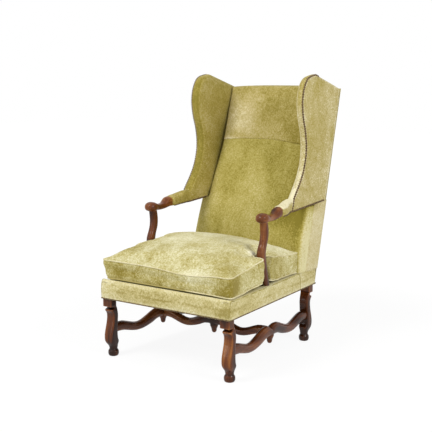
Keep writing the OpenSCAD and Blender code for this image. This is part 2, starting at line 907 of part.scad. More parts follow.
module seat_hessian() {
    color(jute) difference() {
        plan(frame_plan(2, y_back - cover_t - 2), rail_top, deck_z);
        post_hole();
        left() post_hole();
        raked(band_z, seat_h, post_in + 1, -40, post_in_x - 1, 400);
        left() raked(band_z, seat_h, post_in + 1, -40, post_in_x - 1, 400);
    }
}

module seat_pad() {
    color(velvet) difference() {
        plan(frame_plan(0, lumbar[0][0] - gap), deck_z, seat_h);
        post_hole();
        left() post_hole();
    }
}

// ---------- cushion ----------

cushion_z = seat_h + gap;
cushion_top = cushion_z + cushion_t;
notch_front = post_y - post_reach - post_knuckle - cushion_gap;
notch_back = post_y + post_foot_t + cushion_gap;
notch_x = post_x - post_half_w - cushion_gap;
front_corner_r = 20;
notch_corner_r = 14;

// Points on a quarter turn round a corner, from one heading
function corner(x, y, r, a0) = [for (a = [a0:15:a0 + 90]) [x + r*cos(a), y + r*sin(a)]];

// Right half of the cushion's plan, from the middle of the front round to the middle of the back
function cushion_half(inset) =
    let (front = y_front + 2.5 + inset, back = lumbar[0][0] - cushion_gap - inset,
         xf = half_w(front) - 1 - inset, xn = notch_x - inset,
         xs = half_w(notch_front) + 1 - inset,
         xr = half_w(notch_back) - 4 - inset, xb = side_x - inset,
         r1 = max(2, front_corner_r - inset), r3 = max(2, notch_corner_r - inset))
    concat([[0, front]],
           corner(xf - r1, front + r1, r1, -90),
           corner(xs - r3, notch_front - inset - r3, r3, 0),
           [[xn, notch_front - inset], [xn, notch_back + inset]],
           corner(xr - r3, notch_back + inset + r3, r3, -90),
           corner(xb - r3, back - r3, r3, 0),
           [[0, back]]);

function cushion_plan(inset) =
    let (right = cushion_half(inset), n = len(right))
    concat(right, [for (k = [n - 2:-1:1]) [-right[k][0], right[k][1]]]);

// Boxed cushion with a crown that falls away to its edges
module cushion_body(inset, grow_z) {
    reach = 300;
    r = reach*reach/(2*cushion_crown);
    plan(cushion_plan(inset), cushion_z + grow_z, cushion_top - grow_z);
    intersection() {
        plan(cushion_plan(inset + 12), cushion_top - 30, cushion_top + cushion_crown + 10);
        translate([0, (y_front + lumbar[0][0])/2, cushion_top + cushion_crown - grow_z - r])
            sphere(r, $fn = 200);
    }
}

module cushion_cover() {
    color(velvet) difference() {
        cushion_body(3, 0);
        cushion_body(6, 3);
    }
}

module cushion_filling() {
    color("#e8e0cc") cushion_body(6 + gap, 3 + gap);
}

module cushion_piping() {
    color(velvet) for (z = [cushion_z, cushion_top - piping_d])
        translate([0, 0, z]) linear_extrude(piping_d) difference() {
            polygon(cushion_plan(0));
            polygon(cushion_plan(3));
        }
}

front_leg_left();
front_leg_right();
rear_leg_left();
rear_leg_right();
side_stretcher_left();
side_stretcher_right();
cross_stretcher();
arm_left();
arm_right();
arm_post_left();
arm_post_right();
front_rail();
rear_rail();
side_rail_left();
side_rail_right();
corner_blocks();
back_top_rail();
back_mid_rail();
back_bottom_rail();
wing_board_left();
wing_board_right();
seat_webbing();
seat_springs();
seat_hessian();
seat_pad();
seat_band_front();
seat_band_left();
seat_band_right();
trim_front();
trim_left();
trim_right();
trim_rear();
dust_cover();
back_webbing();
back_pad_lower();
back_pad_upper();
back_cover();
back_side_left();
back_side_right();
arm_pad_left();
arm_pad_right();
wing_pad_left();
wing_pad_right();
wing_cover_left();
wing_cover_right();
wing_trim_left();
wing_trim_right();
cushion_cover();
cushion_filling();
cushion_piping();
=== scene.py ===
import math
import bpy
import bmesh
import numpy as np
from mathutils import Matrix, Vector, noise
from mathutils.bvhtree import BVHTree
from mathutils.geometry import tessellate_polygon


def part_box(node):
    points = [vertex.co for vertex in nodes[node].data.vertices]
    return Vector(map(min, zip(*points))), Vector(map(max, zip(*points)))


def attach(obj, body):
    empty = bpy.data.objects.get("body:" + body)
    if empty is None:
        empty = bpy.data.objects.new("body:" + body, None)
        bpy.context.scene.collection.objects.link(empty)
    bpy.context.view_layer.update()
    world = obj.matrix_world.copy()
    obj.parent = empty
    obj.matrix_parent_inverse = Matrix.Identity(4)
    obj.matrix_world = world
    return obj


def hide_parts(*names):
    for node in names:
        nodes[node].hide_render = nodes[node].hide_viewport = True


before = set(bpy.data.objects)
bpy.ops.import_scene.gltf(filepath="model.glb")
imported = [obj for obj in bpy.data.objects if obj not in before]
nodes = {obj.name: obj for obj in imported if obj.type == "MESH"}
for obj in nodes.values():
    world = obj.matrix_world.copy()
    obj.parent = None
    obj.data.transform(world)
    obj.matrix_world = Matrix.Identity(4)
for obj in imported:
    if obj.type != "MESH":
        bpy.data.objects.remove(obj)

scene = bpy.context.scene
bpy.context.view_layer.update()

# ---------------------------------------------------------------------------
# Carved walnut: the four legs, the H of wave stretchers, the open arms and the
# arm posts. Each is cut from the solid with its edges softened by wear, then
# stained, waxed and rubbed. Its colour is paler on edges and raised carving, as
# wear and painted highlight, and darker in the hollows, as wax and painted shade.
# ---------------------------------------------------------------------------
WALNUT_HOLLOW = (0.010, 0.0025, 0.0008)
WALNUT_DARK = (0.032, 0.0085, 0.0022)
WALNUT_RED = (0.128, 0.034, 0.0075)
WALNUT_RUBBED_AND_LIT = (0.430, 0.170, 0.040)
GRAIN_UP, GRAIN_ALONG, GRAIN_ACROSS = (1, 1, 0.10), (1, 0.10, 1), (0.10, 1, 1)
SHAFT_MIDDLE = 0.135
LEG_WEAR, RAIL_WEAR, POST_WEAR = 0.0022, 0.0020, 0.0018


def new_material(name):
    """A material, its node tree and its shader."""
    made = bpy.data.materials.new(name)
    made.use_nodes = True
    return made, made.node_tree, made.node_tree.nodes["Principled BSDF"]


def dress(made, inputs):
    """Gives each named input of a node its value, or the socket that feeds it."""
    for name, value in inputs.items():
        if isinstance(value, bpy.types.NodeSocket):
            made.id_data.links.new(value, made.inputs[name])
        else:
            made.inputs[name].default_value = value
    return made


def node(tree, kind, inputs=(), **settings):
    """A shader node with its inputs and settings."""
    made = tree.nodes.new("ShaderNode" + kind)
    for key, value in settings.items():
        setattr(made, key, value)
    return dress(made, dict(inputs))


def clouds(tree, scale, stretch, detail, rough, shift=(0, 0, 0), warp=0.0):
    """Noise laid through the piece in its own space, stretched along its grain or nap."""
    place = node(tree, "TexCoord").outputs["Object"]
    laid = node(tree, "Mapping", {"Vector": place, "Scale": stretch, "Location": shift}).outputs[0]
    return node(tree, "TexNoise", {"Vector": laid, "Scale": scale, "Detail": detail, "Roughness": rough,
                                   "Distortion": warp}).outputs["Fac"]


def tones(tree, factor, *stops):
    """Colours along a factor, as (place, colour)."""
    ramp = node(tree, "ValToRGB", {"Fac": factor})
    marks = ramp.color_ramp.elements
    while len(marks) < len(stops):
        marks.new(0.5)
    for mark, (at, colour) in zip(marks, stops):
        mark.position, mark.color = at, (*colour, 1)
    return ramp.outputs["Color"]


def maths(tree, operation, a, b=0.0, clamp=False):
    """One step of arithmetic on sockets or numbers."""
    return node(tree, "Math", {0: a, 1: b}, operation=operation, use_clamp=clamp).outputs[0]


def summed(tree, *shares):
    """The sum of some sockets, each times its share."""
    total, *others = [maths(tree, "MULTIPLY", socket, share) for socket, share in shares]
    for other in others:
        total = maths(tree, "ADD", total, other)
    return total


def relief(tree, height, strength, distance):
    """Pores, threads or pile, too fine for the mesh."""
    return node(tree, "Bump", {"Height": height, "Strength": strength, "Distance": distance}).outputs[0]


def waxed_walnut(name, grain, shift, wear_and_crease_shade=0.0, painted_front_light=0.0):
    """Stained and waxed wood, rubbed paler where it is handled, with a painted highlight on its front faces.
    """
    made, tree, shader = new_material(name)
    figure = clouds(tree, 26, grain, 6, 0.62, shift, 0.6)
    slow = clouds(tree, 5, (1, 1, 1), 2, 0.5, shift)
    pores = clouds(tree, 210, grain, 3, 0.7, shift)
    surface = node(tree, "NewGeometry").outputs
    tone = summed(tree, (figure, 0.75), (slow, 0.88))
    # Painted highlight: faces that look to the front, along the middle of the shaft, get a paler colour.
    if painted_front_light:
        height = node(tree, "SeparateXYZ", {"Vector": node(tree, "TexCoord").outputs["Object"]}).outputs["Z"]
        away = maths(tree, "ABSOLUTE", maths(tree, "SUBTRACT", height, SHAFT_MIDDLE))
        shaft = maths(tree, "SUBTRACT", 1.0, maths(tree, "MULTIPLY", away, 8.0), True)
        to_rear = node(tree, "SeparateXYZ", {"Vector": surface["Normal"]}).outputs["Y"]
        front_highlight = maths(tree, "MULTIPLY", to_rear, -painted_front_light, True)
        tone = maths(tree, "ADD", tone, maths(tree, "MULTIPLY", front_highlight, shaft))
    # Paler on convex edges as wear and painted highlight, darker in hollows as wax and painted shade.
    curvature_wear_and_shade = maths(tree, "MULTIPLY", maths(tree, "SUBTRACT", surface["Pointiness"], 0.5), 5.0)
    tone = maths(tree, "ADD", maths(tree, "SUBTRACT", tone, 0.30 - wear_and_crease_shade), curvature_wear_and_shade, True)
    dress(shader, {
        "Base Color": tones(tree, tone, (0.18, WALNUT_HOLLOW), (0.42, WALNUT_DARK), (0.62, WALNUT_RED),
                            (0.95, WALNUT_RUBBED_AND_LIT)),
        "Roughness": node(tree, "MapRange", {"Value": figure, "To Min": 0.44, "To Max": 0.26}).outputs[0],
        "Normal": relief(tree, summed(tree, (pores, 1.0), (slow, 2.0)), 0.35, 0.0006),
        "Coat Weight": 0.32, "Coat Roughness": 0.12, "Specular IOR Level": 0.10})
    return made


def worn_smooth(piece, voxel):
    """Takes the facets and sharp arrises off a CAD piece, as tools and wear do, without touching its mesh."""
    weld = piece.modifiers.new("Weld", "WELD")
    weld.merge_threshold = 0.00003
    skin = piece.modifiers.new("Worn skin", "REMESH")
    skin.mode, skin.voxel_size, skin.use_smooth_shade = "VOXEL", voxel, True
    eased = piece.modifiers.new("Eased", "SMOOTH")
    eased.factor, eased.iterations = 0.5, 7


def coated(piece, material):
    piece.data.materials.clear()
    piece.data.materials.append(material)


for kind, walnut, voxel in (
        ("front_leg", waxed_walnut("walnut_upright", GRAIN_UP, (0, 0, 0), -0.10, 0.26), LEG_WEAR),
        ("rear_leg", waxed_walnut("walnut_rear", GRAIN_UP, (0, 3, 0), -0.10), LEG_WEAR),
        ("side_stretcher", waxed_walnut("walnut_lengthways", GRAIN_ALONG, (3, 0, 0)), RAIL_WEAR),
        ("cross_stretcher", waxed_walnut("walnut_crossways", GRAIN_ACROSS, (0, 7, 0)), RAIL_WEAR),
        ("arm", waxed_walnut("walnut_arms", GRAIN_ALONG, (5, 2, 0), 0.11), RAIL_WEAR),
        ("arm_post", waxed_walnut("walnut_posts", GRAIN_UP, (2, 0, 4), -0.03), POST_WEAR)):
    for name in (kind, kind + "_left", kind + "_right"):
        if name in nodes:
            coated(nodes[name], walnut)
            worn_smooth(nodes[name], voxel)

# ---------------------------------------------------------------------------
# Hidden frame: raw beech rails, corner blocks and wing boards, tenoned and
# glued. Saw marks and pale flecks run along each board under a dusty surface.
# ---------------------------------------------------------------------------
BEECH_PALE = (0.66, 0.46, 0.28)
BEECH_PINK = (0.50, 0.31, 0.17)
BEECH_FLECK = (0.33, 0.18, 0.09)
ARRIS = 0.0012


def raw_beech(name, grain):
    made, tree, shader = new_material(name)
    board = clouds(tree, 18, grain, 5, 0.6, (1, 2, 3), 0.4)
    flecks = clouds(tree, 160, grain, 2, 0.6)
    tone = summed(tree, (board, 0.7), (flecks, 0.3))
    colour = tones(tree, tone, (0.30, BEECH_FLECK), (0.45, BEECH_PINK), (0.65, BEECH_PALE))
    dress(shader, {"Base Color": colour, "Normal": relief(tree, flecks, 0.4, 0.0005), "Roughness": 0.78})
    return made


for beech, names in (
        (raw_beech("beech_across", (0.08, 1, 1)),
         ("front_rail", "rear_rail", "back_top_rail", "back_mid_rail", "back_bottom_rail")),
        (raw_beech("beech_along", (1, 0.08, 1)), ("side_rail_left", "side_rail_right", "corner_blocks")),
        (raw_beech("beech_up", (1, 1, 0.08)), ("wing_board_left", "wing_board_right"))):
    for name in names:
        coated(nodes[name], beech)
        planed = nodes[name].modifiers.new("Arris", "BEVEL")
        planed.width, planed.segments, planed.limit_method = ARRIS, 2, "ANGLE"

# ---------------------------------------------------------------------------
# Support under the seat and behind the back: jute webbing tacked to the rails,
# hessian over nine waisted coil springs, and a black dust cloth beneath.
# ---------------------------------------------------------------------------
JUTE_LIGHT = (0.52, 0.39, 0.21)
JUTE_DARK = (0.27, 0.17, 0.08)
JUTE_THREAD = 0.005
CAMBRIC_BLACK = (0.020, 0.019, 0.018)
CAMBRIC_WORN = (0.055, 0.052, 0.048)
CAMBRIC_THREAD = 0.0012
SPRING_GREY = (0.30, 0.31, 0.32)
SPRING_RUST = (0.16, 0.08, 0.04)


def plain_weave(name, dark, light, thread, rough):
    """Threads over and under each other, on the faces that lie flat or stand across the chair."""
    made, tree, shader = new_material(name)
    place = node(tree, "SeparateXYZ", {"Vector": node(tree, "TexCoord").outputs["Object"]}).outputs
    warp = maths(tree, "SINE", maths(tree, "MULTIPLY", place["X"], math.tau / thread))
    depth = maths(tree, "ADD", place["Y"], place["Z"])
    weft = maths(tree, "SINE", maths(tree, "MULTIPLY", depth, math.tau / thread))
    weave = maths(tree, "MULTIPLY", warp, weft)
    uneven = clouds(tree, 60, (1, 1, 1), 4, 0.6)
    tone = summed(tree, (weave, 0.25), (uneven, 1.0))
    dress(shader, {"Base Color": tones(tree, tone, (0.30, dark), (0.70, light)),
                   "Normal": relief(tree, weave, 0.6, 0.0006), "Roughness": rough})
    return made


jute = plain_weave("jute", JUTE_DARK, JUTE_LIGHT, JUTE_THREAD, 0.90)
for name in ("seat_webbing", "back_webbing", "seat_hessian"):
    coated(nodes[name], jute)
coated(nodes["dust_cover"], plain_weave("black_cambric", CAMBRIC_BLACK, CAMBRIC_WORN, CAMBRIC_THREAD, 0.85))

drawn_wire, tree, shader = new_material("spring_wire")
rust = clouds(tree, 90, (1, 1, 1), 4, 0.6)
dress(shader, {"Base Color": tones(tree, rust, (0.45, SPRING_GREY), (0.75, SPRING_RUST)),
               "Metallic": 0.9, "Roughness": 0.38})
springs = nodes["seat_springs"]
coated(springs, drawn_wire)
springs.modifiers.new("Weld", "WELD").merge_threshold = 0.00002
springs.modifiers.new("Round wire", "SUBSURF").render_levels = 1

# ---------------------------------------------------------------------------
# Seat deck: a thin stuffed pad of stitched hair on the hessian, with the same
# velvet as the rest, cut round the arm posts. The loose cushion rests on it.
# ---------------------------------------------------------------------------
OLIVE_DEEP = (0.205, 0.165, 0.022)
OLIVE = (0.375, 0.310, 0.070)
STRAW = (0.560, 0.490, 0.210)
CREAM = (0.760, 0.700, 0.450)
DECK_SKIN = 0.0030


def velvet(name, deep, body, pale, worn_and_lit, lay=(1, 1, 0.45), shift=(0, 0, 0), contrast=1.0):
    """Cotton velvet: crushed patches of nap in three tones, cream with wear and painted light, and a soft
    sheen.
    """
    made, tree, shader = new_material(name)
    patches = clouds(tree, 7, lay, 3, 0.5, shift, 0.5)
    crushed = clouds(tree, 34, lay, 6, 0.72, shift, 0.8)
    grain = clouds(tree, 150, (1, 1, 1), 3, 0.75, shift)
    pile = clouds(tree, 620, (1, 1, 1), 2, 0.6)
    shares = ((patches, 0.9 * contrast), (crushed, 0.8 * contrast), (grain, 1.15), (pile, 0.30))
    tone = maths(tree, "ADD", summed(tree, *shares), 0.5 - sum(share for _, share in shares) / 2)
    tone = maths(tree, "ADD", tone, node(tree, "Attribute", attribute_name="nap_and_painted_light").outputs["Fac"], True)
    dress(shader, {
        "Base Color": tones(tree, tone, (0.22, deep), (0.46, body), (0.70, pale), (0.98, worn_and_lit)),
        "Normal": relief(tree, summed(tree, (crushed, 1.0), (pile, 0.35)), 0.45, 0.0022),
        "Roughness": 0.86, "Specular IOR Level": 0.18,
        "Sheen Weight": 0.30, "Sheen Roughness": 0.42, "Sheen Tint": (0.95, 0.90, 0.62, 1)})
    return made


def triples(items, name):
    values = np.empty(len(items) * 3)
    items.foreach_get(name, values)
    return values.reshape(-1, 3)


def points_of(piece):
    return triples(piece.data.vertices, "co")


def facing(piece):
    """The outward direction at each point."""
    return triples(piece.data.vertex_normals, "vector")


def put_points(piece, co):
    piece.data.vertices.foreach_set("co", co.astype(np.float32).ravel())
    piece.data.update()


def piece_from(name, verts, faces):
    mesh = bpy.data.meshes.new(name)
    mesh.from_pydata([tuple(v) for v in verts], [], [tuple(f) for f in faces])
    mesh.validate()
    mesh.update()
    made = bpy.data.objects.new(name, mesh)
    scene.collection.objects.link(made)
    return made


def outside_of(name):
    """The corners and faces of a CAD solid, as the start of a soft piece."""
    mesh = nodes[name].data
    return [v.co.copy() for v in mesh.vertices], [list(p.vertices) for p in mesh.polygons]


def settle(piece):
    """Applies a piece's modifiers to its mesh."""
    bpy.context.view_layer.update()
    shape = bpy.data.meshes.new_from_object(piece.evaluated_get(bpy.context.evaluated_depsgraph_get()))
    piece.modifiers.clear()
    piece.data = shape


def faces_out(piece, weld=0.0, out=None):
    """Turns a piece's faces outwards, or an open strip's faces to look out."""
    work = bmesh.new()
    work.from_mesh(piece.data)
    if weld:
        bmesh.ops.remove_doubles(work, verts=work.verts, dist=weld)
    bmesh.ops.recalc_face_normals(work, faces=work.faces)
    if out is not None and max(work.faces, key=lambda f: f.calc_center_median().dot(out)).normal.dot(out) < 0:
        bmesh.ops.reverse_faces(work, faces=work.faces)
    work.to_mesh(piece.data)
    work.free()


def one_skin(piece, voxel):
    """One closed skin over everything in the mesh, in even faces."""
    faces_out(piece, weld=0.00002)
    skin = piece.modifiers.new("Skin", "REMESH")
    skin.mode, skin.voxel_size = "VOXEL", voxel
    settle(piece)


def ease(piece, rounds, held=0.0):
    """Rounds a skin's edges. Held points, from 0 to 1, stay where they are."""
    co = points_of(piece)
    pairs = np.empty(len(piece.data.edges) * 2, np.int64)
    piece.data.edges.foreach_get("vertices", pairs)
    a, b = pairs.reshape(-1, 2).T
    ends, others = np.concatenate((a, b)), np.concatenate((b, a))
    count = np.maximum(np.bincount(ends, minlength=len(co)), 1)[:, None]
    free = np.reshape(1 - held, (-1, 1))
    for _ in range(rounds):
        mean = np.stack([np.bincount(ends, co[others, k], len(co)) for k in range(3)], 1) / count
        co += (mean - co) * 0.5 * free
    put_points(piece, co)


def upholstered(piece, material, body, slot, *replaced):
    coated(piece, material)
    piece.data.shade_smooth()
    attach(piece, body)
    if replaced:
        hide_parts(*replaced)


deck = piece_from("seat_deck", *outside_of("seat_pad"))
one_skin(deck, DECK_SKIN)
ease(deck, 4)
upholstered(deck, velvet("velvet_deck", OLIVE_DEEP, OLIVE, STRAW, CREAM), "frame", "velvet", "seat_pad")

# ---------------------------------------------------------------------------
# Seat band: a strip of velvet over wadding, drawn over the front and the side
# rails, sewn to its neighbours at the corners and turned in under the cushion.
# ---------------------------------------------------------------------------
BAND_PUFF = 0.0026
BAND_TURN = 0.012
BAND_CLOTH = 0.0024
BAND_STEP = 0.006
BAND_FLAT = 0.030
BAND_WAVE, BAND_RIPPLE = 0.0012, 0.0005
SEAM_PINCH, SEAM_REACH = 0.0022, 0.005
SIDE_SEAM = 0.594
SIDE_COVER = 0.0015
band_low, band_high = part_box("seat_band_front")
FRONT_X, FRONT_Y = band_high.x, band_low.y
REAR_X, REAR_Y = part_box("back_cover")[1].x + SIDE_COVER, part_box("seat_band_right")[1].y
BAND_LOW, SEAT_TOP = band_low.z, band_high.z
side_out = Vector((REAR_Y - FRONT_Y, FRONT_X - REAR_X, 0)).normalized()
velvet_band = velvet("velvet_band", (0.34, 0.275, 0.080), (0.540, 0.465, 0.205), (0.680, 0.620, 0.370),
                     (0.820, 0.780, 0.580), (0.55, 0.55, 1), (5, 1, 2), 0.85)


def fade(value, low, high):
    """0 below low and 1 above high, with a smooth turn."""
    t = np.clip((value - low) / (high - low), 0, 1)
    return t * t * (3 - 2 * t)


def hump(away, width):
    """1 where away is nothing, and less and less beyond that width."""
    return np.exp(-(away / width) ** 2)


def ripples(points, scale, shift=(0, 0, 0)):
    """Smooth unevenness from -1 to 1, at each point."""
    return np.array([noise.noise(Vector(p)) for p in points * scale + shift])


def nap_and_painted_light(piece, amount):
    """How much lighter or darker the nap lies at each point, with painted light and shade."""
    marks = piece.data.attributes.new("nap_and_painted_light", "FLOAT", "POINT")
    marks.data.foreach_set("value", amount.astype(np.float32))


def spots(co, *marks):
    """Soft patches of nap and painted light and shade: x, y, z of the middle, reach in x, y, z, and amount.
    """
    total = np.zeros(len(co))
    for *place, amount in marks:
        away = (co - place[:3]) / place[3:]
        total += amount * np.exp(-(away ** 2).sum(1))
    return total


def grid_faces(rows, columns):
    """The faces of a sheet whose points are listed row by row."""
    wide = columns + 1
    starts = [r * wide + c for r in range(rows) for c in range(columns)]
    return [(a, a + wide, a + wide + 1, a + 1) for a in starts]


def lined(piece, thickness):
    """Gives a sheet its thickness, on the inside."""
    cloth = piece.modifiers.new("Cloth", "SOLIDIFY")
    cloth.thickness, cloth.offset = thickness, -1
    settle(piece)


def band(name, start, end, out, rise, square, seams):
    """A padded strip from start to end, which rolls over by rise at each end, and lies flat at an end where
    square is 1. The seams are sewn across it at distances from its start."""
    start, end = Vector((*start, 0)), Vector((*end, 0))
    length, tall = (end - start).length, SEAT_TOP - BAND_LOW
    steps = round(length / BAND_STEP)
    verts = []
    for i in range(steps + 1):
        t = i / steps
        up = rise[0] + (rise[1] - rise[0]) * t
        ends = [math.exp(-t * length / BAND_FLAT), math.exp(-(1 - t) * length / BAND_FLAT)]
        puff = BAND_PUFF * (1 - square[0] * ends[0]) * (1 - square[1] * ends[1])
        pinch = SEAM_PINCH * math.exp(-min(t, 1 - t) * length / SEAM_REACH)
        section = [(-0.003, BAND_LOW - 0.0005), (0.0, BAND_LOW)]
        section += [(puff * math.sin(math.pi * k) ** 0.7, BAND_LOW + (SEAT_TOP - BAND_TURN - BAND_LOW) * k)
                    for k in np.linspace(0.05, 0.95, 16)]
        section += [(BAND_TURN * (math.cos(a) - 1), SEAT_TOP - BAND_TURN + (BAND_TURN + up) * math.sin(a))
                    for a in np.linspace(0.1, math.pi / 2, 8)]
        section += [(-BAND_TURN - inset, SEAT_TOP + up * left)
                    for inset, left in ((0.007, 0.85), (0.014, 0.35), (0.020, 0.0))]
        for depth, z in section:
            p = start.lerp(end, t) + out * (depth - pinch)
            p.z = z
            wave = noise.noise(Vector((p.x * 9, p.y * 9, z * 22))) * BAND_WAVE
            wave += noise.noise(Vector((p.x * 26, p.y * 26, z * 60 + 4))) * BAND_RIPPLE
            verts.append(p + out * wave * float(fade((z - BAND_LOW) / tall, 0.02, 0.2)))
    made = piece_from(name, verts, grid_faces(steps, len(section) - 1))
    faces_out(made, out=out)
    lined(made, BAND_CLOTH)
    co = points_of(made)
    height = (co[:, 2] - BAND_LOW) / tall
    wear_and_crease_shade = ripples(co, (9, 9, 0), (0, 0, 8))
    run = (co - np.array(start)) @ np.array((end - start).normalized())
    sewn = sum(0.14 * hump(run - at - 0.008, 0.004) - 0.42 * hump(run - at, 0.0035) for at in seams)
    # Painted shade: a dark line across the band at half height, as a crease would cast; the ripples make it
    # wander.
    nap_and_painted_light(made, sewn + 0.14 * hump(height - 1.05, 0.12) + 0.12 * hump(height - 0.13, 0.05)
            - 0.22 * np.clip(0.55 + 1.6 * wear_and_crease_shade, 0, 1) * hump(height - 0.54 + 0.1 * wear_and_crease_shade, 0.055)
            + spots(co, (0.29, FRONT_Y, 0.275, 0.035, 0.03, 0.016, -0.30),
                    (0.31, FRONT_Y, 0.30, 0.015, 0.03, 0.03, -0.15)))
    upholstered(made, velvet_band, "frame", "velvet", "seat_" + name)


band("band_front", (-FRONT_X, FRONT_Y), (FRONT_X, FRONT_Y), Vector((0, -1, 0)), (0.0085, 0.0050),
     (0, 0), (0.0, 2 * FRONT_X))
for side, name in ((1, "right"), (-1, "left")):
    band("band_" + name, (side * FRONT_X, FRONT_Y), (side * REAR_X, REAR_Y - 0.001),
         Vector((side * side_out.x, side_out.y, 0)), (0.0020, 0.0), (0, 1), (SIDE_SEAM,))

# ---------------------------------------------------------------------------
# Inside back: hair stuffing under velvet on jute webbing. The lower panel runs
# down behind the cushion and out to the sides below the arms. The upper one is
# laid over it with a turned, arched edge, and goes on over the top rail.
# ---------------------------------------------------------------------------
BACK_CROWN = 0.009
UPPER_PROUD = 0.004
TOP_CROWN = 0.011
CREVICE = 0.0150
SIDE_TURN = 0.032
SEAM_SAG = 0.012
LOWER_SKIN, UPPER_SKIN = 0.0045, 0.0040
SEAM_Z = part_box("back_pad_upper")[0].z
INNER_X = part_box("back_pad_upper")[1].x
ARM_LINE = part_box("back_side_right")[1].z - 0.012
back_low, back_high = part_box("back_cover")
TOP_Z = back_high.z
rear = points_of(nodes["back_cover"])
RAKE = (rear[:, 1].max() - rear[rear[:, 2] < back_low.z + 0.001][:, 1].max()) / (TOP_Z - back_low.z)
velvet_back = velvet("velvet_back", (0.210, 0.170, 0.020), (0.370, 0.308, 0.066), (0.490, 0.415, 0.135),
                     (0.700, 0.640, 0.360), (1, 1, 0.45), (2, 0, 0), 0.65)
velvet_upper = velvet("velvet_upper", (0.240, 0.190, 0.028), (0.395, 0.320, 0.090), (0.520, 0.430, 0.195),
                      (0.720, 0.650, 0.400), (1, 1, 0.7), (0, 4, 1), 0.75)


def back_plane(z, depth=0.0):
    """Where the raked outside of the back stands at a height, or a depth in from it."""
    return REAR_Y + RAKE * (z - back_low.z) - depth


def between(a, b, count):
    """The faces between two rings of as many points, which start at points a and b."""
    return [(a + k, a + (k + 1) % count, b + (k + 1) % count, b + k) for k in range(count)]


def loft(rings):
    """A closed skin over rings of as many points each, its flat ends cut into triangles."""
    n, m = len(rings), len(rings[0])
    verts = [p for ring in rings for p in ring]
    faces = [face for k in range(n - 1) for face in between(k * m, (k + 1) * m, m)]
    for base in (0, (n - 1) * m):
        end = [Vector(p) for p in verts[base:base + m]]
        faces += [[base + i for i in cut] for cut in tessellate_polygon([end])]
    return verts, faces


def together(first, second):
    """Two shapes of points and faces as one."""
    base = len(first[0])
    return list(first[0]) + list(second[0]), list(first[1]) + [[base + i for i in face] for face in second[1]]


def beside_wings(co):
    """Draws a panel's edges in from the wings, most beside its seam, and lets the seam sag to the right."""
    reach = CREVICE * hump(co[:, 2] - SEAM_Z - 0.01, 0.15) + 0.0042
    reach *= fade(co[:, 2], ARM_LINE - 0.004, ARM_LINE + 0.012)
    co[:, 0] -= np.sign(co[:, 0]) * reach * fade(np.abs(co[:, 0]), INNER_X * 0.6, INNER_X * 0.98)
    co[:, 2] -= SEAM_SAG * fade(co[:, 0], 0.0, 0.20) * hump(co[:, 2] - SEAM_Z, 0.06)


lower = piece_from("back_lower", *outside_of("back_pad_lower"))
cut_front = points_of(lower)
cut_front = cut_front[cut_front[:, 1] < back_plane(cut_front[:, 2], 0.055)]
cut_front = cut_front[np.argsort(cut_front[:, 2])]
one_skin(lower, LOWER_SKIN)
ease(lower, 7)
co, out = points_of(lower), facing(lower)
front = fade(-out[:, 1], 0.25, 0.75)
half = np.where(co[:, 2] > ARM_LINE, INNER_X, REAR_X)
middle = 1 - np.clip(np.abs(co[:, 0]) / half, 0, 1) ** 3
crown = front * middle * fade(co[:, 2], SEAT_TOP, SEAT_TOP + 0.22) * BACK_CROWN
co -= crown[:, None] * (0, 1, 0.2)
co[:, 1] -= front * middle * ripples(co, (10, 0, 4), (0, 3, 0)) * 0.0025
turned = np.clip(np.abs(co[:, 0]) - (REAR_X - SIDE_TURN), 0, SIDE_TURN)
near_front = 1 - fade(co[:, 1] - np.interp(co[:, 2], cut_front[:, 2], cut_front[:, 1]), 0.0, 0.09)
co[:, 1] += near_front * (SIDE_TURN - np.sqrt(SIDE_TURN ** 2 - turned ** 2)) * (co[:, 2] < ARM_LINE + 0.02)
beside_wings(co)
co[:, 2] += 0.006 * fade(co[:, 2], SEAM_Z - 0.030, SEAM_Z)
put_points(lower, co)
ease(lower, 2)
# Painted shade: the panel darkens where it turns into the crevice beside each wing.
crevice_shade = fade(np.abs(facing(lower)[:, 0]), 0.35, 0.70) * (co[:, 2] > ARM_LINE)
below_arm = 1 - fade(co[:, 2], ARM_LINE - 0.05, ARM_LINE + 0.02)
# Painted light: below the arms the panel is lighter where it turns to face the side.
turned_side_light = fade(np.abs(co[:, 0]), REAR_X - 0.017, REAR_X - 0.003)
# The patch at x 0.262, z 0.57 is painted shadow under the right arm.
nap_and_painted_light(lower, 0.50 * turned_side_light * below_arm - 0.9 * crevice_shade
        + spots(co, (0.00, 0.10, 0.66, 0.10, 0.5, 0.13, 0.10), (0.225, 0.1, 0.74, 0.045, 0.5, 0.16, -0.22),
                (-0.13, 0.1, 0.82, 0.08, 0.5, 0.08, 0.12), (-0.22, 0.1, 0.60, 0.05, 0.5, 0.12, 0.16),
                (0.06, 0.1, 0.81, 0.05, 0.5, 0.05, -0.12), (0.20, 0.12, 0.56, 0.09, 0.5, 0.08, -0.28),
                (0.262, 0.12, 0.57, 0.015, 0.5, 0.10, -0.24), (0.20, 0.1, 0.85, 0.06, 0.5, 0.06, -0.16)))
upholstered(lower, velvet_back, "frame", "velvet", "back_pad_lower")

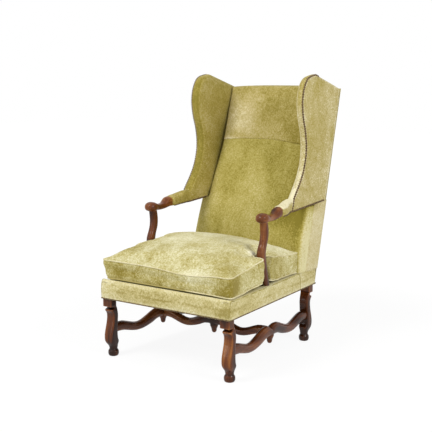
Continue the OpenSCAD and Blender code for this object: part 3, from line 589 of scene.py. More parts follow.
over_rail = [(back_plane(z, depth), z) for z, depth in ((TOP_Z - 0.055, 0.044), (TOP_Z - 0.055, 0.004),
                                                        (TOP_Z, 0.004), (TOP_Z, 0.044))]
over_rail = loft([[(x, y, z) for y, z in over_rail] for x in (-INNER_X, INNER_X)])
upper = piece_from("back_upper", *together(outside_of("back_pad_upper"), over_rail))
one_skin(upper, UPPER_SKIN)
ease(upper, 7)
co, out = points_of(upper), facing(upper)
front = fade(-out[:, 1], 0.20, 0.70)
middle = 1 - np.clip(np.abs(co[:, 0]) / INNER_X, 0, 1) ** 3
lift = fade(co[:, 2], TOP_Z - 0.03, TOP_Z - 0.004)
co -= (front * (UPPER_PROUD + middle * BACK_CROWN * 0.8))[:, None] * (0, 1, 0.15)
co[:, 2] += lift * TOP_CROWN * (0.35 + 0.65 * middle)
beside_wings(co)
put_points(upper, co)
# Painted light and shade: the upper panel's lip over the seam is lighter on the left and darker on the right.
lip_light_and_shade = hump(co[:, 2] - SEAM_Z - 0.008 + SEAM_SAG * fade(co[:, 0], 0.0, 0.20), 0.007) * front
# Painted shade: the panel darkens where it turns into the crevice beside each wing.
crevice_shade = fade(np.abs(facing(upper)[:, 0]), 0.40, 0.75) * (co[:, 2] < TOP_Z - 0.01)
nap_and_painted_light(upper, lip_light_and_shade * (0.34 - 0.52 * fade(co[:, 0], -0.16, 0.10)) - 0.9 * crevice_shade
        + spots(co, (0.22, 0.3, 0.97, 0.045, 0.5, 0.10, -0.20), (-0.15, 0.3, 0.98, 0.08, 0.5, 0.09, 0.31),
                (0.00, 0.3, 1.02, 0.08, 0.5, 0.08, -0.20), (0.12, 0.3, 0.93, 0.07, 0.5, 0.05, -0.12)))
upholstered(upper, velvet_upper, "frame", "velvet", "back_pad_upper")

# ---------------------------------------------------------------------------
# Outside back: one flat cloth panel over the back posts and rails, from the
# band's lower edge up to the top rail, blind-stitched down its sides.
# ---------------------------------------------------------------------------
OUTSIDE_ROWS, OUTSIDE_COLUMNS = 90, 60
OUTSIDE_CLOTH = 0.0025
velvet_outside = velvet("velvet_outside", (0.330, 0.270, 0.080), (0.500, 0.420, 0.180), (0.600, 0.520, 0.270),
                        (0.760, 0.700, 0.460), (1, 1, 0.35), (1, 6, 3), 0.75)
verts = []
for r in range(OUTSIDE_ROWS + 1):
    z = BAND_LOW + (TOP_Z - 0.002 - BAND_LOW) * r / OUTSIDE_ROWS
    for c in range(OUTSIDE_COLUMNS + 1):
        x = (REAR_X - 0.0035) * (2 * c / OUTSIDE_COLUMNS - 1)
        to_edge = min(REAR_X - 0.003 - abs(x), (OUTSIDE_ROWS - r) * 0.0097 + 0.002)
        puff = 0.0018 * (1 - math.exp(-to_edge / 0.03)) - 0.0016 * math.exp(-to_edge / 0.004)
        ripple = noise.noise(Vector((x * 7, z * 5, 2))) * 0.0012
        verts.append((x, back_plane(z) + puff + ripple * (to_edge > 0.01), z))
outside = piece_from("back_outside", verts, grid_faces(OUTSIDE_ROWS, OUTSIDE_COLUMNS))
lined(outside, OUTSIDE_CLOTH)
upholstered(outside, velvet_outside, "frame", "velvet", "back_cover")

# ---------------------------------------------------------------------------
# Wings and arm pads: each side is one stuffed roll over its wooden board. It
# starts at the arm's carved collar, sweeps up into the rolled front of the wing
# and over its tip. The inside is crowned and the outside lies flat.
# ---------------------------------------------------------------------------
ROLL_OUT = 0.0080
ROLL_IN = 0.0235
ROLL_DEEP = 0.0200
WING_CROWN = 0.006
WING_FOOT_TOP = 0.72
WING_SKIN = 0.0036
REAR_GAP = 0.0018
ARM_HALF, ARM_TALL = 0.0222, 0.0465
ARM_SIDES, ARM_ROUND, ARM_SQUARE = 36, 2.7, 5.0
EDGE_STEP, LINE_STEP = 0.004, 0.008
WING_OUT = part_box("wing_cover_right")[1].x
WING_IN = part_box("wing_pad_right")[0].x
wing_middle, wing_half = (WING_OUT + WING_IN) / 2, (WING_OUT - WING_IN) / 2
arm_x = (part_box("arm_right")[0].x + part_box("arm_right")[1].x) / 2
collar_y, arm_under_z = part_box("arm_pad_right")[0].y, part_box("arm_pad_right")[0].z
velvet_wing = velvet("velvet_wing", (0.225, 0.180, 0.026), (0.365, 0.290, 0.062), (0.500, 0.415, 0.180),
                     (0.780, 0.720, 0.480), (1, 1, 0.9), (3, 3, 0), 0.70)


def run_of(points):
    """How far along a line each of its points is."""
    return np.concatenate(([0], np.cumsum(np.linalg.norm(np.diff(points, axis=0), axis=1))))


def rim(name, axis, high):
    """The outline of a CAD node's flat end face, as a closed line of points without its holes."""
    co = points_of(nodes[name])
    level = co[:, axis].max() if high else co[:, axis].min()
    edges = {}
    for p in nodes[name].data.polygons:
        if all(abs(co[i][axis] - level) < 2e-5 for i in p.vertices):
            ring = [tuple(np.round(co[i], 5)) for i in p.vertices]
            for a, b in zip(ring, ring[1:] + ring[:1]):
                if edges.pop((b, a), None) is None:
                    edges[a, b] = True
    after, loops = {a: b for a, b in edges}, []
    while after:
        loop = [next(iter(after))]
        while loop[-1] in after:
            loop.append(after.pop(loop[-1]))
        loops.append(np.array(loop[:-1] if loop[0] == loop[-1] else loop))
    return max(loops, key=lambda l: run_of(l)[-1])


def evenly(points, step):
    """An open line of points again, a step apart."""
    run = run_of(points)
    at = np.linspace(0, run[-1], max(2, round(run[-1] / step) + 1))
    return np.stack([np.interp(at, run, points[:, k]) for k in range(points.shape[1])], 1)


def arm_underside(y):
    """The height of the arm pad's lower edge, which rises from the collar to the back."""
    return arm_under_z + (knee[1] - arm_under_z) / (knee[0] - collar_y) * (y - collar_y)


def arm_ring(y, x_mid, half_w, low, high):
    """A section across the arm's sleeve, rounded above and squarer below."""
    ring = []
    for i in range(ARM_SIDES):
        a = math.tau * i / ARM_SIDES
        c, s = math.cos(a), math.sin(a)
        across = math.copysign(abs(c) ** (2 / ARM_ROUND), c)
        up = math.copysign(abs(s) ** (2 / (ARM_SQUARE if s < 0 else ARM_ROUND)), s)
        ring.append((x_mid + half_w * across, y, (low + high) / 2 + (high - low) / 2 * up))
    return ring


def clear_of(points, line):
    """How far each point lies from the nearest point of a line."""
    away = np.full(len(points), 1.0)
    for place in line:
        away = np.minimum(away, np.linalg.norm(points - place, axis=1))
    return away


outline = rim("wing_cover_right", 0, True)[:, 1:]
outline = np.roll(outline, -np.argmax(outline[:, 0] - outline[:, 1]), 0)
if outline[-1][1] > outline[1][1]:
    outline = np.concatenate((outline[:1], outline[:0:-1]))
knee, back_top, wing_foot = outline[0], outline[1], outline[-1]
free_edge = evenly(outline[:0:-1], EDGE_STEP)
edge_run = run_of(free_edge)
inward = np.gradient(free_edge, axis=0)
inward = np.stack([inward[:, 1], -inward[:, 0]], 1)
inward /= np.linalg.norm(inward, axis=1)[:, None]
rolled = fade(edge_run[-1] - edge_run, 0.0, 0.03)
back_line = evenly(np.array([free_edge[-1] + [REAR_GAP, 0], knee + [REAR_GAP, 0]]), LINE_STEP)[1:]
under_line = evenly(np.array([back_line[-1], free_edge[0]]), LINE_STEP)[1:-1]

section = [(WING_OUT - ROLL_OUT * (1 - math.cos(a)), ROLL_OUT * (1 - math.sin(a)))
           for a in np.linspace(0, math.pi / 2, 6)]
section += [(WING_IN + ROLL_IN * (1 - math.cos(a)), ROLL_DEEP * (1 - math.sin(a)))
            for a in np.linspace(math.pi / 2, 0, 10)]
wing_rings = []
for x, depth in section:
    edge = free_edge + inward * (depth * rolled)[:, None]
    edge[-1, 0] += REAR_GAP
    wing_rings.append([(x, y, z) for y, z in np.concatenate((edge, back_line, under_line))])
arm_start = collar_y + 0.0005
arm_rings = []
for y, shrink in ((arm_start, 0.004), (arm_start + 0.003, 0.0015), (arm_start + 0.008, 0.0),
                  (arm_start + 0.040, 0.0), (arm_start + 0.060, 0.0), (arm_start + 0.080, 0.0),
                  (wing_foot[0], 0.0), (wing_foot[0] + 0.050, 0.0)):
    t = fade(y, collar_y + 0.03, wing_foot[0])
    top = arm_under_z + ARM_TALL + 0.010 * fade(y, collar_y, wing_foot[0])
    top += 0.007 * fade(y, wing_foot[0] - 0.07, wing_foot[0])
    x_mid, half_w = arm_x + (wing_middle - arm_x) * t, ARM_HALF + (wing_half - ARM_HALF) * t
    arm_rings.append(arm_ring(y, x_mid, half_w - shrink, arm_underside(y) + shrink, top - shrink))
wing_shape = together(loft(wing_rings), loft(arm_rings))

# For each side: how pale the nap lies on the roll and low on the roll, the painted highlight on its crest and
# on its welt (painted shade where below nought), and how pale the nap lies on the arm.
wing_sides = {}
for side, name, roll, low_roll, crest_light, welt_light, sleeve in ((1, "right", 0.10, 0.22, 0.0, 0.26, 0.52),
                                                        (-1, "left", -0.19, 0.0, 0.34, -0.12, 0.02)):
    made = piece_from("wing_" + name, *wing_shape)
    one_skin(made, WING_SKIN)
    ease(made, 3)
    ease(made, 14, fade(np.linalg.norm(points_of(made)[:, 1:] - back_top, axis=1), 0.02, 0.05))
    co, out = points_of(made), facing(made)
    near = clear_of(co[:, 1:], np.concatenate((free_edge, back_line, under_line)))
    inside = fade(-out[:, 0], 0.3, 0.9)
    plump = fade(near, 0.008, 0.060)
    ahead = back_plane(co[:, 2], 0.070) - co[:, 1]
    co[:, 0] -= inside * plump * WING_CROWN * fade(ahead, -0.02, 0.03)
    co += out * (ripples(co, (4, 11, 7)) * 0.0012 * plump)[:, None]
    co[:, 0] *= side
    put_points(made, co)
    if side < 0:
        made.data.flip_normals()
    nap = roll + low_roll * fade(1.08 - co[:, 2], 0.0, 0.22)
    nap *= fade(-out[:, 1], 0.35, 0.9) * fade(0.035 - near, 0.0, 0.02)
    nap += welt_light * hump(-out[:, 0] - 0.66, 0.12) * fade(0.034 - near, 0.0, 0.01)
    nap += crest_light * hump(out[:, 0] - 0.38, 0.13) * fade(0.030 - near, 0.0, 0.01)
    nap += sleeve * fade(WING_FOOT_TOP - co[:, 2], 0.0, 0.05) * fade(out[:, 2], 0.0, 0.6)
    # Painted light: the outer face and a strip along the roll's edge are lighter.
    roll_edge_light = hump(near - 0.004, 0.006) * (co[:, 2] > ARM_LINE + 0.02)
    nap += 0.13 * fade(out[:, 0], 0.6, 0.95) + 0.20 * roll_edge_light * fade(out[:, 0], 0.2, 0.7)
    # Painted shade: the inside face darkens where it runs back into the crevice beside the back.
    nap -= 0.8 * inside * fade(-ahead, -0.006, 0.004) * (co[:, 2] < TOP_Z)
    nap_and_painted_light(made, nap + spots(co, (side * 0.25, 0.30, 0.90, 0.05, 0.08, 0.10, -0.10),
                              (0.34, 0.33, 1.10, 0.05, 0.12, 0.10, -0.12)))
    upholstered(made, velvet_wing, "frame", "velvet",
                "wing_pad_" + name, "wing_cover_" + name, "arm_pad_" + name)
    wing_sides[side] = made

# ---------------------------------------------------------------------------
# Sides of the back below the arms: a lightly wadded panel on each, seamed to
# the inside back where that turns the corner, and to the outside back behind.
# ---------------------------------------------------------------------------
SIDE_REACH = 0.113
SIDE_ROWS, SIDE_COLUMNS = 60, 24
SIDE_CLOTH = 0.0022
velvet_side = velvet("velvet_side", (0.36, 0.285, 0.105), (0.540, 0.455, 0.215), (0.640, 0.565, 0.330),
                     (0.780, 0.730, 0.520), (1, 1, 0.7), (8, 2, 5), 0.7)
for side, name in ((1, "right"), (-1, "left")):
    verts = []
    for r in range(SIDE_ROWS + 1):
        for c in range(SIDE_COLUMNS + 1):
            t, z = c / SIDE_COLUMNS, SEAT_TOP
            for _ in range(3):
                y = back_plane(z, SIDE_REACH) + (SIDE_REACH + 0.0010) * t
                z = SEAT_TOP - 0.004 + (arm_underside(y) + 0.004 - SEAT_TOP) * r / SIDE_ROWS
            puff = 0.0030 * (1 - math.exp(-min(t, 1 - t) * SIDE_REACH / 0.010))
            puff += noise.noise(Vector((y * 14, z * 9, 3))) * 0.0006
            verts.append((side * (REAR_X - SIDE_COVER + puff), y, z))
    made = piece_from("side_panel_" + name, verts, grid_faces(SIDE_ROWS, SIDE_COLUMNS))
    if side > 0:
        made.data.flip_normals()
    lined(made, SIDE_CLOTH)
    co = points_of(made)
    ahead, behind = co[:, 1] - back_plane(co[:, 2], SIDE_REACH), co[:, 1] - back_plane(co[:, 2])
    # Painted shadow: the top front of each side panel darkens under the arm.
    nap_and_painted_light(made, 0.12 - 0.40 * fade(co[:, 2], 0.56, 0.62) * hump(ahead, 0.045) + 0.10 * hump(behind, 0.006))
    upholstered(made, velvet_side, "frame", "velvet", "back_side_" + name)

# ---------------------------------------------------------------------------
# Close nailing: domed bronzed nails, almost touching, on a narrow dark braid.
# They hold the cover along each wing's front and over its tip, under the arm
# outside and in, and in a smaller size along the band's lower edge all round.
# ---------------------------------------------------------------------------
WING_NAIL, WING_PITCH, PAST_TIP = 0.0047, 0.0108, 0.034
ARM_ROW_OUT, ARM_ROW_UP = 0.022, 0.0045
BAND_NAIL, BAND_PITCH, BAND_ROW_UP = 0.0026, 0.0060, 0.0030
NAIL_SIDES = 10
NAIL_DOME = ((1.0, 0.10), (0.88, 0.46), (0.50, 0.80))
NAIL_TOP = 0.92
BRAID_WIDE = 0.55
BRAID_SECTION = ((-1, -0.001), (-1, 0.0005), (0, 0.0008), (1, 0.0005), (1, -0.001))
BRAID_STEP = 0.006
LOOK_FROM, LOOK_THROUGH = 0.02, 0.05
BRONZE, BRONZE_RUBBED = (0.055, 0.032, 0.016), (0.300, 0.200, 0.100)
BRAID_DARK, BRAID_LIGHT = (0.100, 0.070, 0.028), (0.240, 0.185, 0.080)
bronze, tree, shader = new_material("bronzed_nails")
spotty = clouds(tree, 260, (1, 1, 1), 3, 0.6)
dress(shader, {"Base Color": tones(tree, spotty, (0.40, BRONZE), (0.72, BRONZE_RUBBED)),
               "Metallic": 0.6, "Roughness": 0.42, "Specular IOR Level": 0.2})
braid, tree, shader = new_material("dark_braid")
threads = clouds(tree, 900, (1, 1, 1), 2, 0.6)
dress(shader, {"Base Color": tones(tree, threads, (0.35, BRAID_DARK), (0.70, BRAID_LIGHT)),
               "Normal": relief(tree, threads, 0.8, 0.0006), "Roughness": 0.88})


def unit(v):
    return v / np.linalg.norm(v)


def circle(middle, u, w, radius, sides):
    """Points round a middle, in the plane of two directions."""
    return [middle + (u * math.cos(math.tau * k / sides) + w * math.sin(math.tau * k / sides)) * radius
            for k in range(sides)]


def nailed(name, line, outs, nail, pitch, *replaced):
    """A braid with nails of that radius and spacing, along a line of points with the way out at each."""
    run = run_of(line)

    def at(s):
        p, o = [np.array([np.interp(s, run, values[:, k]) for k in range(3)]) for values in (line, outs)]
        return p, unit(o)

    verts = []
    strip = evenly(run[:, None], BRAID_STEP)[:, 0]
    for s in strip:
        p, o = at(s)
        along = at(min(s + 0.002, run[-1]))[0] - at(max(s - 0.002, 0))[0]
        across = unit(np.cross(o, unit(along))) * nail * BRAID_WIDE
        verts += [p + across * x + o * up for x, up in BRAID_SECTION]
    faces = grid_faces(len(strip) - 1, 4)
    braided = len(faces)
    count = max(1, round(run[-1] / pitch))
    for i in range(count):
        p, o = at(run[-1] * (i + 0.5) / count)
        u = unit(np.cross(o, [0.3, 0.2, 0.93]))
        w = np.cross(o, u)
        base = len(verts)
        for wide, high in NAIL_DOME:
            verts += circle(p + o * nail * high, u, w, nail * wide, NAIL_SIDES)
        verts.append(p + o * nail * NAIL_TOP)
        for ring in (base, base + NAIL_SIDES):
            faces += between(ring, ring + NAIL_SIDES, NAIL_SIDES)
        last, tip = base + 2 * NAIL_SIDES, base + 3 * NAIL_SIDES
        faces += [(last + k, last + (k + 1) % NAIL_SIDES, tip) for k in range(NAIL_SIDES)]
    made = piece_from(name, verts, faces)
    upholstered(made, bronze, "frame", "nailed_trim", *replaced)
    made.data.materials.append(braid)
    made.data.polygons.foreach_set("material_index", [1] * braided + [0] * (len(faces) - braided))


def surface_of(piece):
    bpy.context.view_layer.update()
    return BVHTree.FromObject(piece, bpy.context.evaluated_depsgraph_get())


def snapped(piece, line, outs):
    """A line laid on a piece's surface, looked for along the way out, and the surface's own way out there."""
    surface = surface_of(piece)
    laid, ways = [], []
    for p, o in zip(line, outs):
        o = Vector(o).normalized()
        hit, normal, _, _ = surface.ray_cast(Vector(p) + o * LOOK_FROM, -o, LOOK_THROUGH)
        if hit is None:
            hit, normal, _, _ = surface.find_nearest(Vector(p))
        laid.append(hit)
        ways.append(normal)
    ways = np.array(ways)
    for _ in range(3):
        ways[1:-1] = (ways[:-2] + ways[1:-1] * 2 + ways[2:]) / 4
    return np.array(laid), ways


tip_run = edge_run[np.argmax(free_edge[:, 1])] + PAST_TIP
nailed_edge = (edge_run > 0.004) & (edge_run < tip_run)
corner = ROLL_OUT * 0.30
for side, name in ((1, "right"), (-1, "left")):
    made, ways = wing_sides[side], inward[nailed_edge]
    line = [(side * (WING_OUT - corner), y, z) for y, z in free_edge[nailed_edge] + ways * corner]
    line, outs = snapped(made, line, [(side, -y, -z) for y, z in ways])
    nailed("wing_nails_" + name, line, outs, WING_NAIL, WING_PITCH, "wing_trim_" + name)
    for place, way, x_arm, x_wing, y_end in (
            ("outer", side, arm_x + ARM_ROW_OUT, WING_OUT, knee[0] - 0.008),
            ("inner", -side, arm_x - ARM_ROW_OUT, WING_IN, back_plane(arm_under_z, 0.165))):
        y = np.arange(collar_y + 0.010, y_end, 0.010)
        t = np.clip((y - collar_y) / (wing_foot[0] + 0.04 - collar_y), 0, 1)
        line = np.column_stack([side * (x_arm + (x_wing - x_arm) * t), y, arm_underside(y) + ARM_ROW_UP])
        line, outs = snapped(made, line, [(way, 0, -0.2)] * len(line))
        nailed("arm_nails_" + place + "_" + name, line, outs, WING_NAIL, WING_PITCH)

drop = BAND_LOW + BAND_ROW_UP
for place, start, end, out in (("front", (-FRONT_X, FRONT_Y), (FRONT_X, FRONT_Y), (0, -1, 0)),
                               ("right", (FRONT_X, FRONT_Y), (REAR_X, REAR_Y), (side_out.x, side_out.y, 0)),
                               ("left", (-FRONT_X, FRONT_Y), (-REAR_X, REAR_Y), (-side_out.x, side_out.y, 0)),
                               ("rear", (-REAR_X, REAR_Y + 0.001), (REAR_X, REAR_Y + 0.001), (0, 1, 0))):
    out = np.array(out, float)
    line = evenly(np.array([(*start, drop), (*end, drop)], float), 0.02) + out * 0.0010
    nailed("band_nails_" + place, line, np.tile(out, (len(line), 1)), BAND_NAIL, BAND_PITCH, "trim_" + place)

# ---------------------------------------------------------------------------
# Loose seat cushion: feathers in a boxed velvet cover, notched round the arm
# posts, with a piped seam along the top and the bottom edge. The stuffing
# swells the top and the boxing between the seams and gathers at the notches.
# ---------------------------------------------------------------------------
SWELL_TOP = 0.030
SWELL_BOX = 0.017
SWELL_SEAM = 0.004
CUSHION_SKIN = 0.0060
PRESSURE, FRAMES = 4.0, 20
PIPING_R, PIPING_SIDES = 0.0029, 8
SEAM_STEP, SEAM_INSET = 0.006, 0.003
POST_Y = -0.171
NOTCH_X, NOTCH_Y = 0.2625, POST_Y - 0.030
cover_low, cover_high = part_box("cushion_piping")
seam_bottom, seam_top = cover_low.z + SEAM_INSET, cover_high.z - SEAM_INSET
velvet_cushion = velvet("velvet_cushion", (0.250, 0.195, 0.030), (0.430, 0.365, 0.125), (0.620, 0.575, 0.320),
                        (0.820, 0.790, 0.580), (1, 1, 0.9), (7, 0, 1), 0.9)
velvet_piping = velvet("velvet_piping", (0.420, 0.350, 0.120), (0.600, 0.530, 0.270), (0.740, 0.680, 0.430),
                       (0.860, 0.820, 0.620), (1, 1, 1), (2, 2, 2), 0.8)


def softened(line):
    """A closed line of points with its corners eased."""
    for _ in range(3):
        line = (np.roll(line, 1, 0) + line * 2 + np.roll(line, -1, 0)) / 4
    return line


def swell(piece, cap):
    """Stuffs a closed cover: cloth under pressure from inside, each point held within its cap."""
    start = points_of(piece)
    cloth = piece.modifiers.new("Stuffing", "CLOTH")
    cloth.settings.quality = 6
    cloth.settings.mass = 0.25
    cloth.settings.tension_stiffness = cloth.settings.compression_stiffness = 12
    cloth.settings.bending_stiffness = 0.4
    cloth.settings.use_pressure = True
    cloth.settings.uniform_pressure_force = PRESSURE
    cloth.settings.effector_weights.gravity = 0
    cloth.point_cache.frame_start, cloth.point_cache.frame_end = 1, FRAMES
    for step in range(1, FRAMES + 1):
        scene.frame_set(step)
    move = points_of(piece.evaluated_get(bpy.context.evaluated_depsgraph_get())) - start
    piece.modifiers.clear()
    scene.frame_set(1)
    size = np.linalg.norm(move, axis=1)
    put_points(piece, start + move * np.minimum(1, cap / np.maximum(size, 1e-9))[:, None])


plan_line = rim("cushion_piping", 2, False)[:, :2]
seam_plan = softened(evenly(np.concatenate((plan_line, plan_line[:1])), SEAM_STEP)[:-1])
cushion = piece_from("seat_cushion", *outside_of("cushion_filling"))
one_skin(cushion, CUSHION_SKIN)
ease(cushion, 4)
co = points_of(cushion)
level = np.where(co[:, 2] > (seam_bottom + seam_top) / 2, seam_top, seam_bottom)
from_seam = clear_of(np.column_stack([co[:, :2], co[:, 2] - level]), np.pad(seam_plan, ((0, 0), (0, 1))))
top_side = fade(co[:, 2], seam_top - 0.01, seam_top + 0.005)
cap = top_side * (SWELL_TOP - SWELL_SEAM) + (1 - top_side) * (SWELL_BOX - SWELL_SEAM)
cap = SWELL_SEAM + fade(from_seam, 0.006, 0.07) * cap
cap *= 1 - 0.97 * fade(seam_bottom + 0.006 - co[:, 2], 0.0, 0.006)
swell(cushion, cap)
ease(cushion, 3)

# Each corner and notch: its x and y, its push in x and y, its reach, and how much more it bulges halfway up.
CORNERS = ((0.318, FRONT_Y + 0.008, 0.013, -0.008, 0.050, 1.8),
           (0.311, POST_Y - 0.050, 0.024, 0.003, 0.045, 3.2),
           (0.304, POST_Y + 0.044, 0.008, -0.001, 0.035, 1.8),
           (0.292, 0.110, 0.018, 0.005, 0.050, 2.4),
           (0.258, POST_Y - 0.010, 0.004, 0.000, 0.028, 1.8))


def settled(points, share, edge):
    """How a used cushion lies: tucked in below, lifted off the deck's roll in front, squeezed up beside the
    posts and sunk in front. Share is how far up between the seams a point is, edge how near it is to one."""
    x, y, z = points.T
    beside = fade(np.abs(x), 0.14, 0.29)
    lobe = beside * hump(y - POST_Y + 0.035, 0.085)
    behind = beside * hump(y - POST_Y - 0.09, 0.08)
    ahead = fade(FRONT_Y + 0.13 - y, 0.0, 0.13)
    top = np.where(x < 0, 0.024, 0.029) * lobe + 0.012 * behind - 0.013 * hump(x - 0.10, 0.11) * ahead
    top += 0.014 * hump(x + 0.16, 0.14) * hump(y + 0.15, 0.14) - 0.004 * ahead
    top += 0.009 * hump(x + 0.27, 0.07) * hump(y + 0.34, 0.08)
    top += 0.011 * hump(np.abs(x) - 0.236, 0.028) * hump(y - POST_Y + 0.022, 0.038)
    low = 0.020 * lobe + (0.0045 - 0.003 * fade(x, 0.15, 0.32)) * ahead
    tuck = (1 - share) * fade(1.0 - share, 0.1, 1.0)
    for cx, cy, push_x, push_y, reach, bulge in CORNERS:
        near = np.exp(-((np.abs(x) - cx) ** 2 + (y - cy) ** 2) / reach ** 2)
        near *= 0.55 + bulge * share * (1 - share)
        x, y = x + np.sign(x) * push_x * near, y + push_y * near
    return np.stack([x - np.sign(x) * tuck * fade(np.abs(x), 0.22, 0.32) * np.where(x < 0, 0.016, 0.004),
                     y + tuck * ahead * 0.009 - share * (1 - share) * ahead * 0.020,
                     z + top * share + low * (1 - share) * edge], 1)


co = points_of(cushion)
share = np.clip((co[:, 2] - seam_bottom) / (seam_top - seam_bottom), 0, 1)
put_points(cushion, settled(co, share, hump(clear_of(co[:, :2], seam_plan), 0.035)))
grow = cushion.modifiers.new("Fine", "SUBSURF")
grow.levels = grow.render_levels = 1
settle(cushion)
co, out = points_of(cushion), facing(cushion)
notch = np.hypot(np.abs(co[:, 0]) - NOTCH_X, co[:, 1] - NOTCH_Y)
turn = np.arctan2(co[:, 1] - NOTCH_Y, np.abs(co[:, 0]) - NOTCH_X)
gather = np.sin(turn * 17 + 3 * np.sin(turn * 3)) * np.exp(-notch / 0.045) * fade(notch, 0.004, 0.02)
creases = np.clip(np.abs(ripples(co, (8, 22, 0), (3, 0, 5))) * -14 + 1, 0, 1) * fade(out[:, 2], 0.5, 0.9)
dents = ripples(co, (13, 13, 13))
loose = fade(co[:, 2], seam_bottom + 0.004, seam_bottom + 0.02)
co += out * ((gather * 0.0022 - creases * 0.0016 + dents * 0.0016) * loose)[:, None]
put_points(cushion, co)
# Painted light: the top is lighter as a sheen, the right side of the boxing is lighter where light falls, and
# the patch by the right notch at x 0.250 is lighter over its shade.
nap_and_painted_light(cushion, 0.02 + 0.13 * fade(out[:, 2], 0.35, 0.85) + spots(
    co, (-0.22, -0.475, 0.375, 0.045, 0.05, 0.026, -0.26), (-0.16, -0.48, 0.365, 0.03, 0.05, 0.02, -0.16),
    (0.29, -0.475, 0.355, 0.065, 0.05, 0.028, -0.26), (0.33, -0.425, 0.372, 0.05, 0.042, 0.040, -0.46),
    (0.20, -0.475, 0.400, 0.10, 0.05, 0.018, 0.12), (0.0, -0.475, 0.37, 0.10, 0.05, 0.03, 0.05),
    (-0.06, -0.16, 0.49, 0.13, 0.10, 0.05, 0.12), (0.14, -0.05, 0.48, 0.08, 0.08, 0.05, 0.14),
    (0.26, -0.42, 0.44, 0.05, 0.04, 0.03, -0.16), (-0.29, -0.38, 0.45, 0.08, 0.09, 0.04, -0.16),
    (-0.18, 0.02, 0.47, 0.14, 0.07, 0.05, -0.14), (0.02, -0.36, 0.46, 0.14, 0.05, 0.05, -0.08),
    (0.335, -0.29, 0.38, 0.03, 0.085, 0.05, 0.38), (0.08, -0.48, 0.385, 0.07, 0.05, 0.04, 0.12),
    (-0.13, -0.48, 0.385, 0.05, 0.05, 0.03, -0.12), (0.32, -0.02, 0.38, 0.04, 0.10, 0.06, 0.20),
    (0.250, -0.190, 0.47, 0.022, 0.03, 0.03, 0.30)))
upholstered(cushion, velvet_cushion, "cushion", "velvet", "cushion_cover", "cushion_filling")


def piped(name, seam, *replaced):
    """A covered cord sewn into a seam, run round the cushion."""
    skin = surface_of(cushion)
    hits = [skin.find_nearest(Vector(place)) for place in seam]
    line = softened(np.array([hit + normal * PIPING_R * 0.65 for hit, normal, _, _ in hits]))
    verts, faces = [], []
    for i in range(len(line)):
        j = (i + 1) % len(line)
        along = unit(line[j] - line[i - 1])
        u = unit(np.cross(along, [0, 0, 1]))
        w = np.cross(u, along)
        verts += circle(line[i], u, w, PIPING_R * (1 + 0.06 * math.sin(i * 2.1)), PIPING_SIDES)
        faces += between(i * PIPING_SIDES, j * PIPING_SIDES, PIPING_SIDES)
    made = piece_from(name, verts, faces)
    faces_out(made)
    co = points_of(made)
    # Painted shadow: the bottom piping darkens at the left, in the cushion's shade.
    nap_and_painted_light(made, 0.11 - 0.8 * fade(0.16 - co[:, 0], 0.0, 0.12) * (co[:, 2] < seam_bottom + 0.03))
    upholstered(made, velvet_piping, "cushion", "velvet", *replaced)


def seam_at(z, share):
    """The seam round the cushion at a height, settled with it."""
    seam = np.pad(seam_plan, ((0, 0), (0, 1)), constant_values=z)
    return settled(seam, np.full(len(seam), share), 1.0)


piped("piping_top", seam_at(seam_top, 1.0), "cushion_piping")
piped("piping_bottom", seam_at(seam_bottom, 0.0))

# ---------------------------------------------------------------------------
# The room: a pale floor that keeps a faint shadow, white surroundings, two
# large soft lamps, two narrow ones for the shine on the wood, and the camera.
# None of it belongs to the chair.
# ---------------------------------------------------------------------------
WHITE = (1, 1, 1, 1)
LENS, SENSOR, LENS_SHIFT = 75.04, 36, 0.0034
CAMERA_AT, CAMERA_AIM = (2.156, -3.2495, 1.185), (0, -0.1065, 0.5846)


def seen_itself(tree):
    """1 where the eye, a reflection or clear glass looks, and 0 where only light falls."""
    ray = node(tree, "LightPath").outputs
    return maths(tree, "MAXIMUM", ray["Is Camera Ray"],
                 maths(tree, "MAXIMUM", ray["Is Glossy Ray"], ray["Is Transmission Ray"]))


def aimed(made, place, target):
    """Stands a lamp or camera at a place, looking at a target."""
    made.location = place
    made.rotation_mode = "QUATERNION"
    made.rotation_quaternion = (Vector(target) - Vector(place)).to_track_quat("-Z", "Y")
    scene.collection.objects.link(made)
    return made


def soft_lamp(name, place, target, wide, high, power):
    lamp = bpy.data.lights.new(name, "AREA")
    lamp.shape, lamp.size, lamp.size_y, lamp.energy = "RECTANGLE", wide, high, power
    aimed(bpy.data.objects.new(name, lamp), place, target)


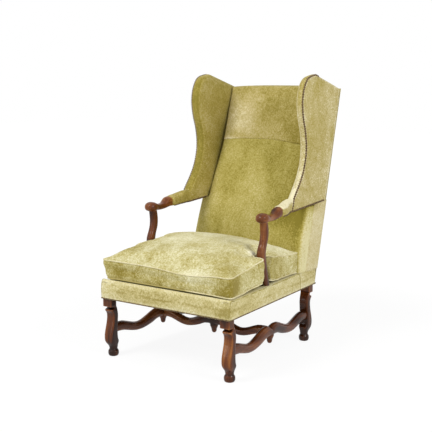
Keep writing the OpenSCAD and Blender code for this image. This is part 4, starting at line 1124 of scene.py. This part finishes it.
floor = piece_from("floor", [(-14, -14, 0), (14, -14, 0), (14, 14, 0), (-14, 14, 0)], [(0, 1, 2, 3)])
floor_paint, tree, shader = new_material("pale_floor")
dress(shader, {"Base Color": (0.86, 0.86, 0.86, 1), "Roughness": 0.9, "Specular IOR Level": 0.0})
seen = seen_itself(tree)
place = node(tree, "NewGeometry").outputs["Position"]
away = node(tree, "VectorMath", {"Vector": place}, operation="LENGTH").outputs["Value"]
far = node(tree, "MapRange", {"Value": away, "From Min": 0.8, "From Max": 2.0, "To Min": 0.88, "To Max": 1.0},
           interpolation_type="SMOOTHSTEP").outputs[0]
glow = node(tree, "Emission", {"Color": WHITE,
                               "Strength": maths(tree, "MULTIPLY", seen, maths(tree, "ADD", far, 0.03))})
unlit = node(tree, "BsdfTransparent", {"Color": (0, 0, 0, 1)})
mixed = node(tree, "MixShader", {"Fac": maths(tree, "MULTIPLY", seen, far), 1: shader.outputs[0],
                                 2: unlit.outputs[0]})
both = node(tree, "AddShader", {0: mixed.outputs[0], 1: glow.outputs[0]})
dress(tree.nodes["Material Output"], {"Surface": both.outputs[0]})
coated(floor, floor_paint)

scene.world = bpy.data.worlds.new("studio")
scene.world.use_nodes = True
tree = scene.world.node_tree
strength = maths(tree, "ADD", maths(tree, "MULTIPLY", seen_itself(tree), 0.60), 0.40)
dress(tree.nodes["Background"], {"Color": WHITE, "Strength": strength})

soft_lamp("key", (-1.0, -2.8, 3.6), (0, 0, 0.6), 1.5, 1.5, 109)
soft_lamp("side", (3.4, -0.6, 2.2), (0, 0, 0.6), 1.4, 1.4, 63)
soft_lamp("strip_left", (-1.5, -3.0, 1.1), (0, 0, 0.5), 0.30, 1.5, 7.5)
soft_lamp("strip_right", (3.2, -1.2, 1.0), (0, 0, 0.5), 0.30, 1.3, 6)

scene.camera = aimed(bpy.data.objects.new("camera", bpy.data.cameras.new("camera")), CAMERA_AT, CAMERA_AIM)
scene.camera.data.lens, scene.camera.data.sensor_width, scene.camera.data.shift_x = LENS, SENSOR, LENS_SHIFT
scene.view_settings.view_transform = "Standard"
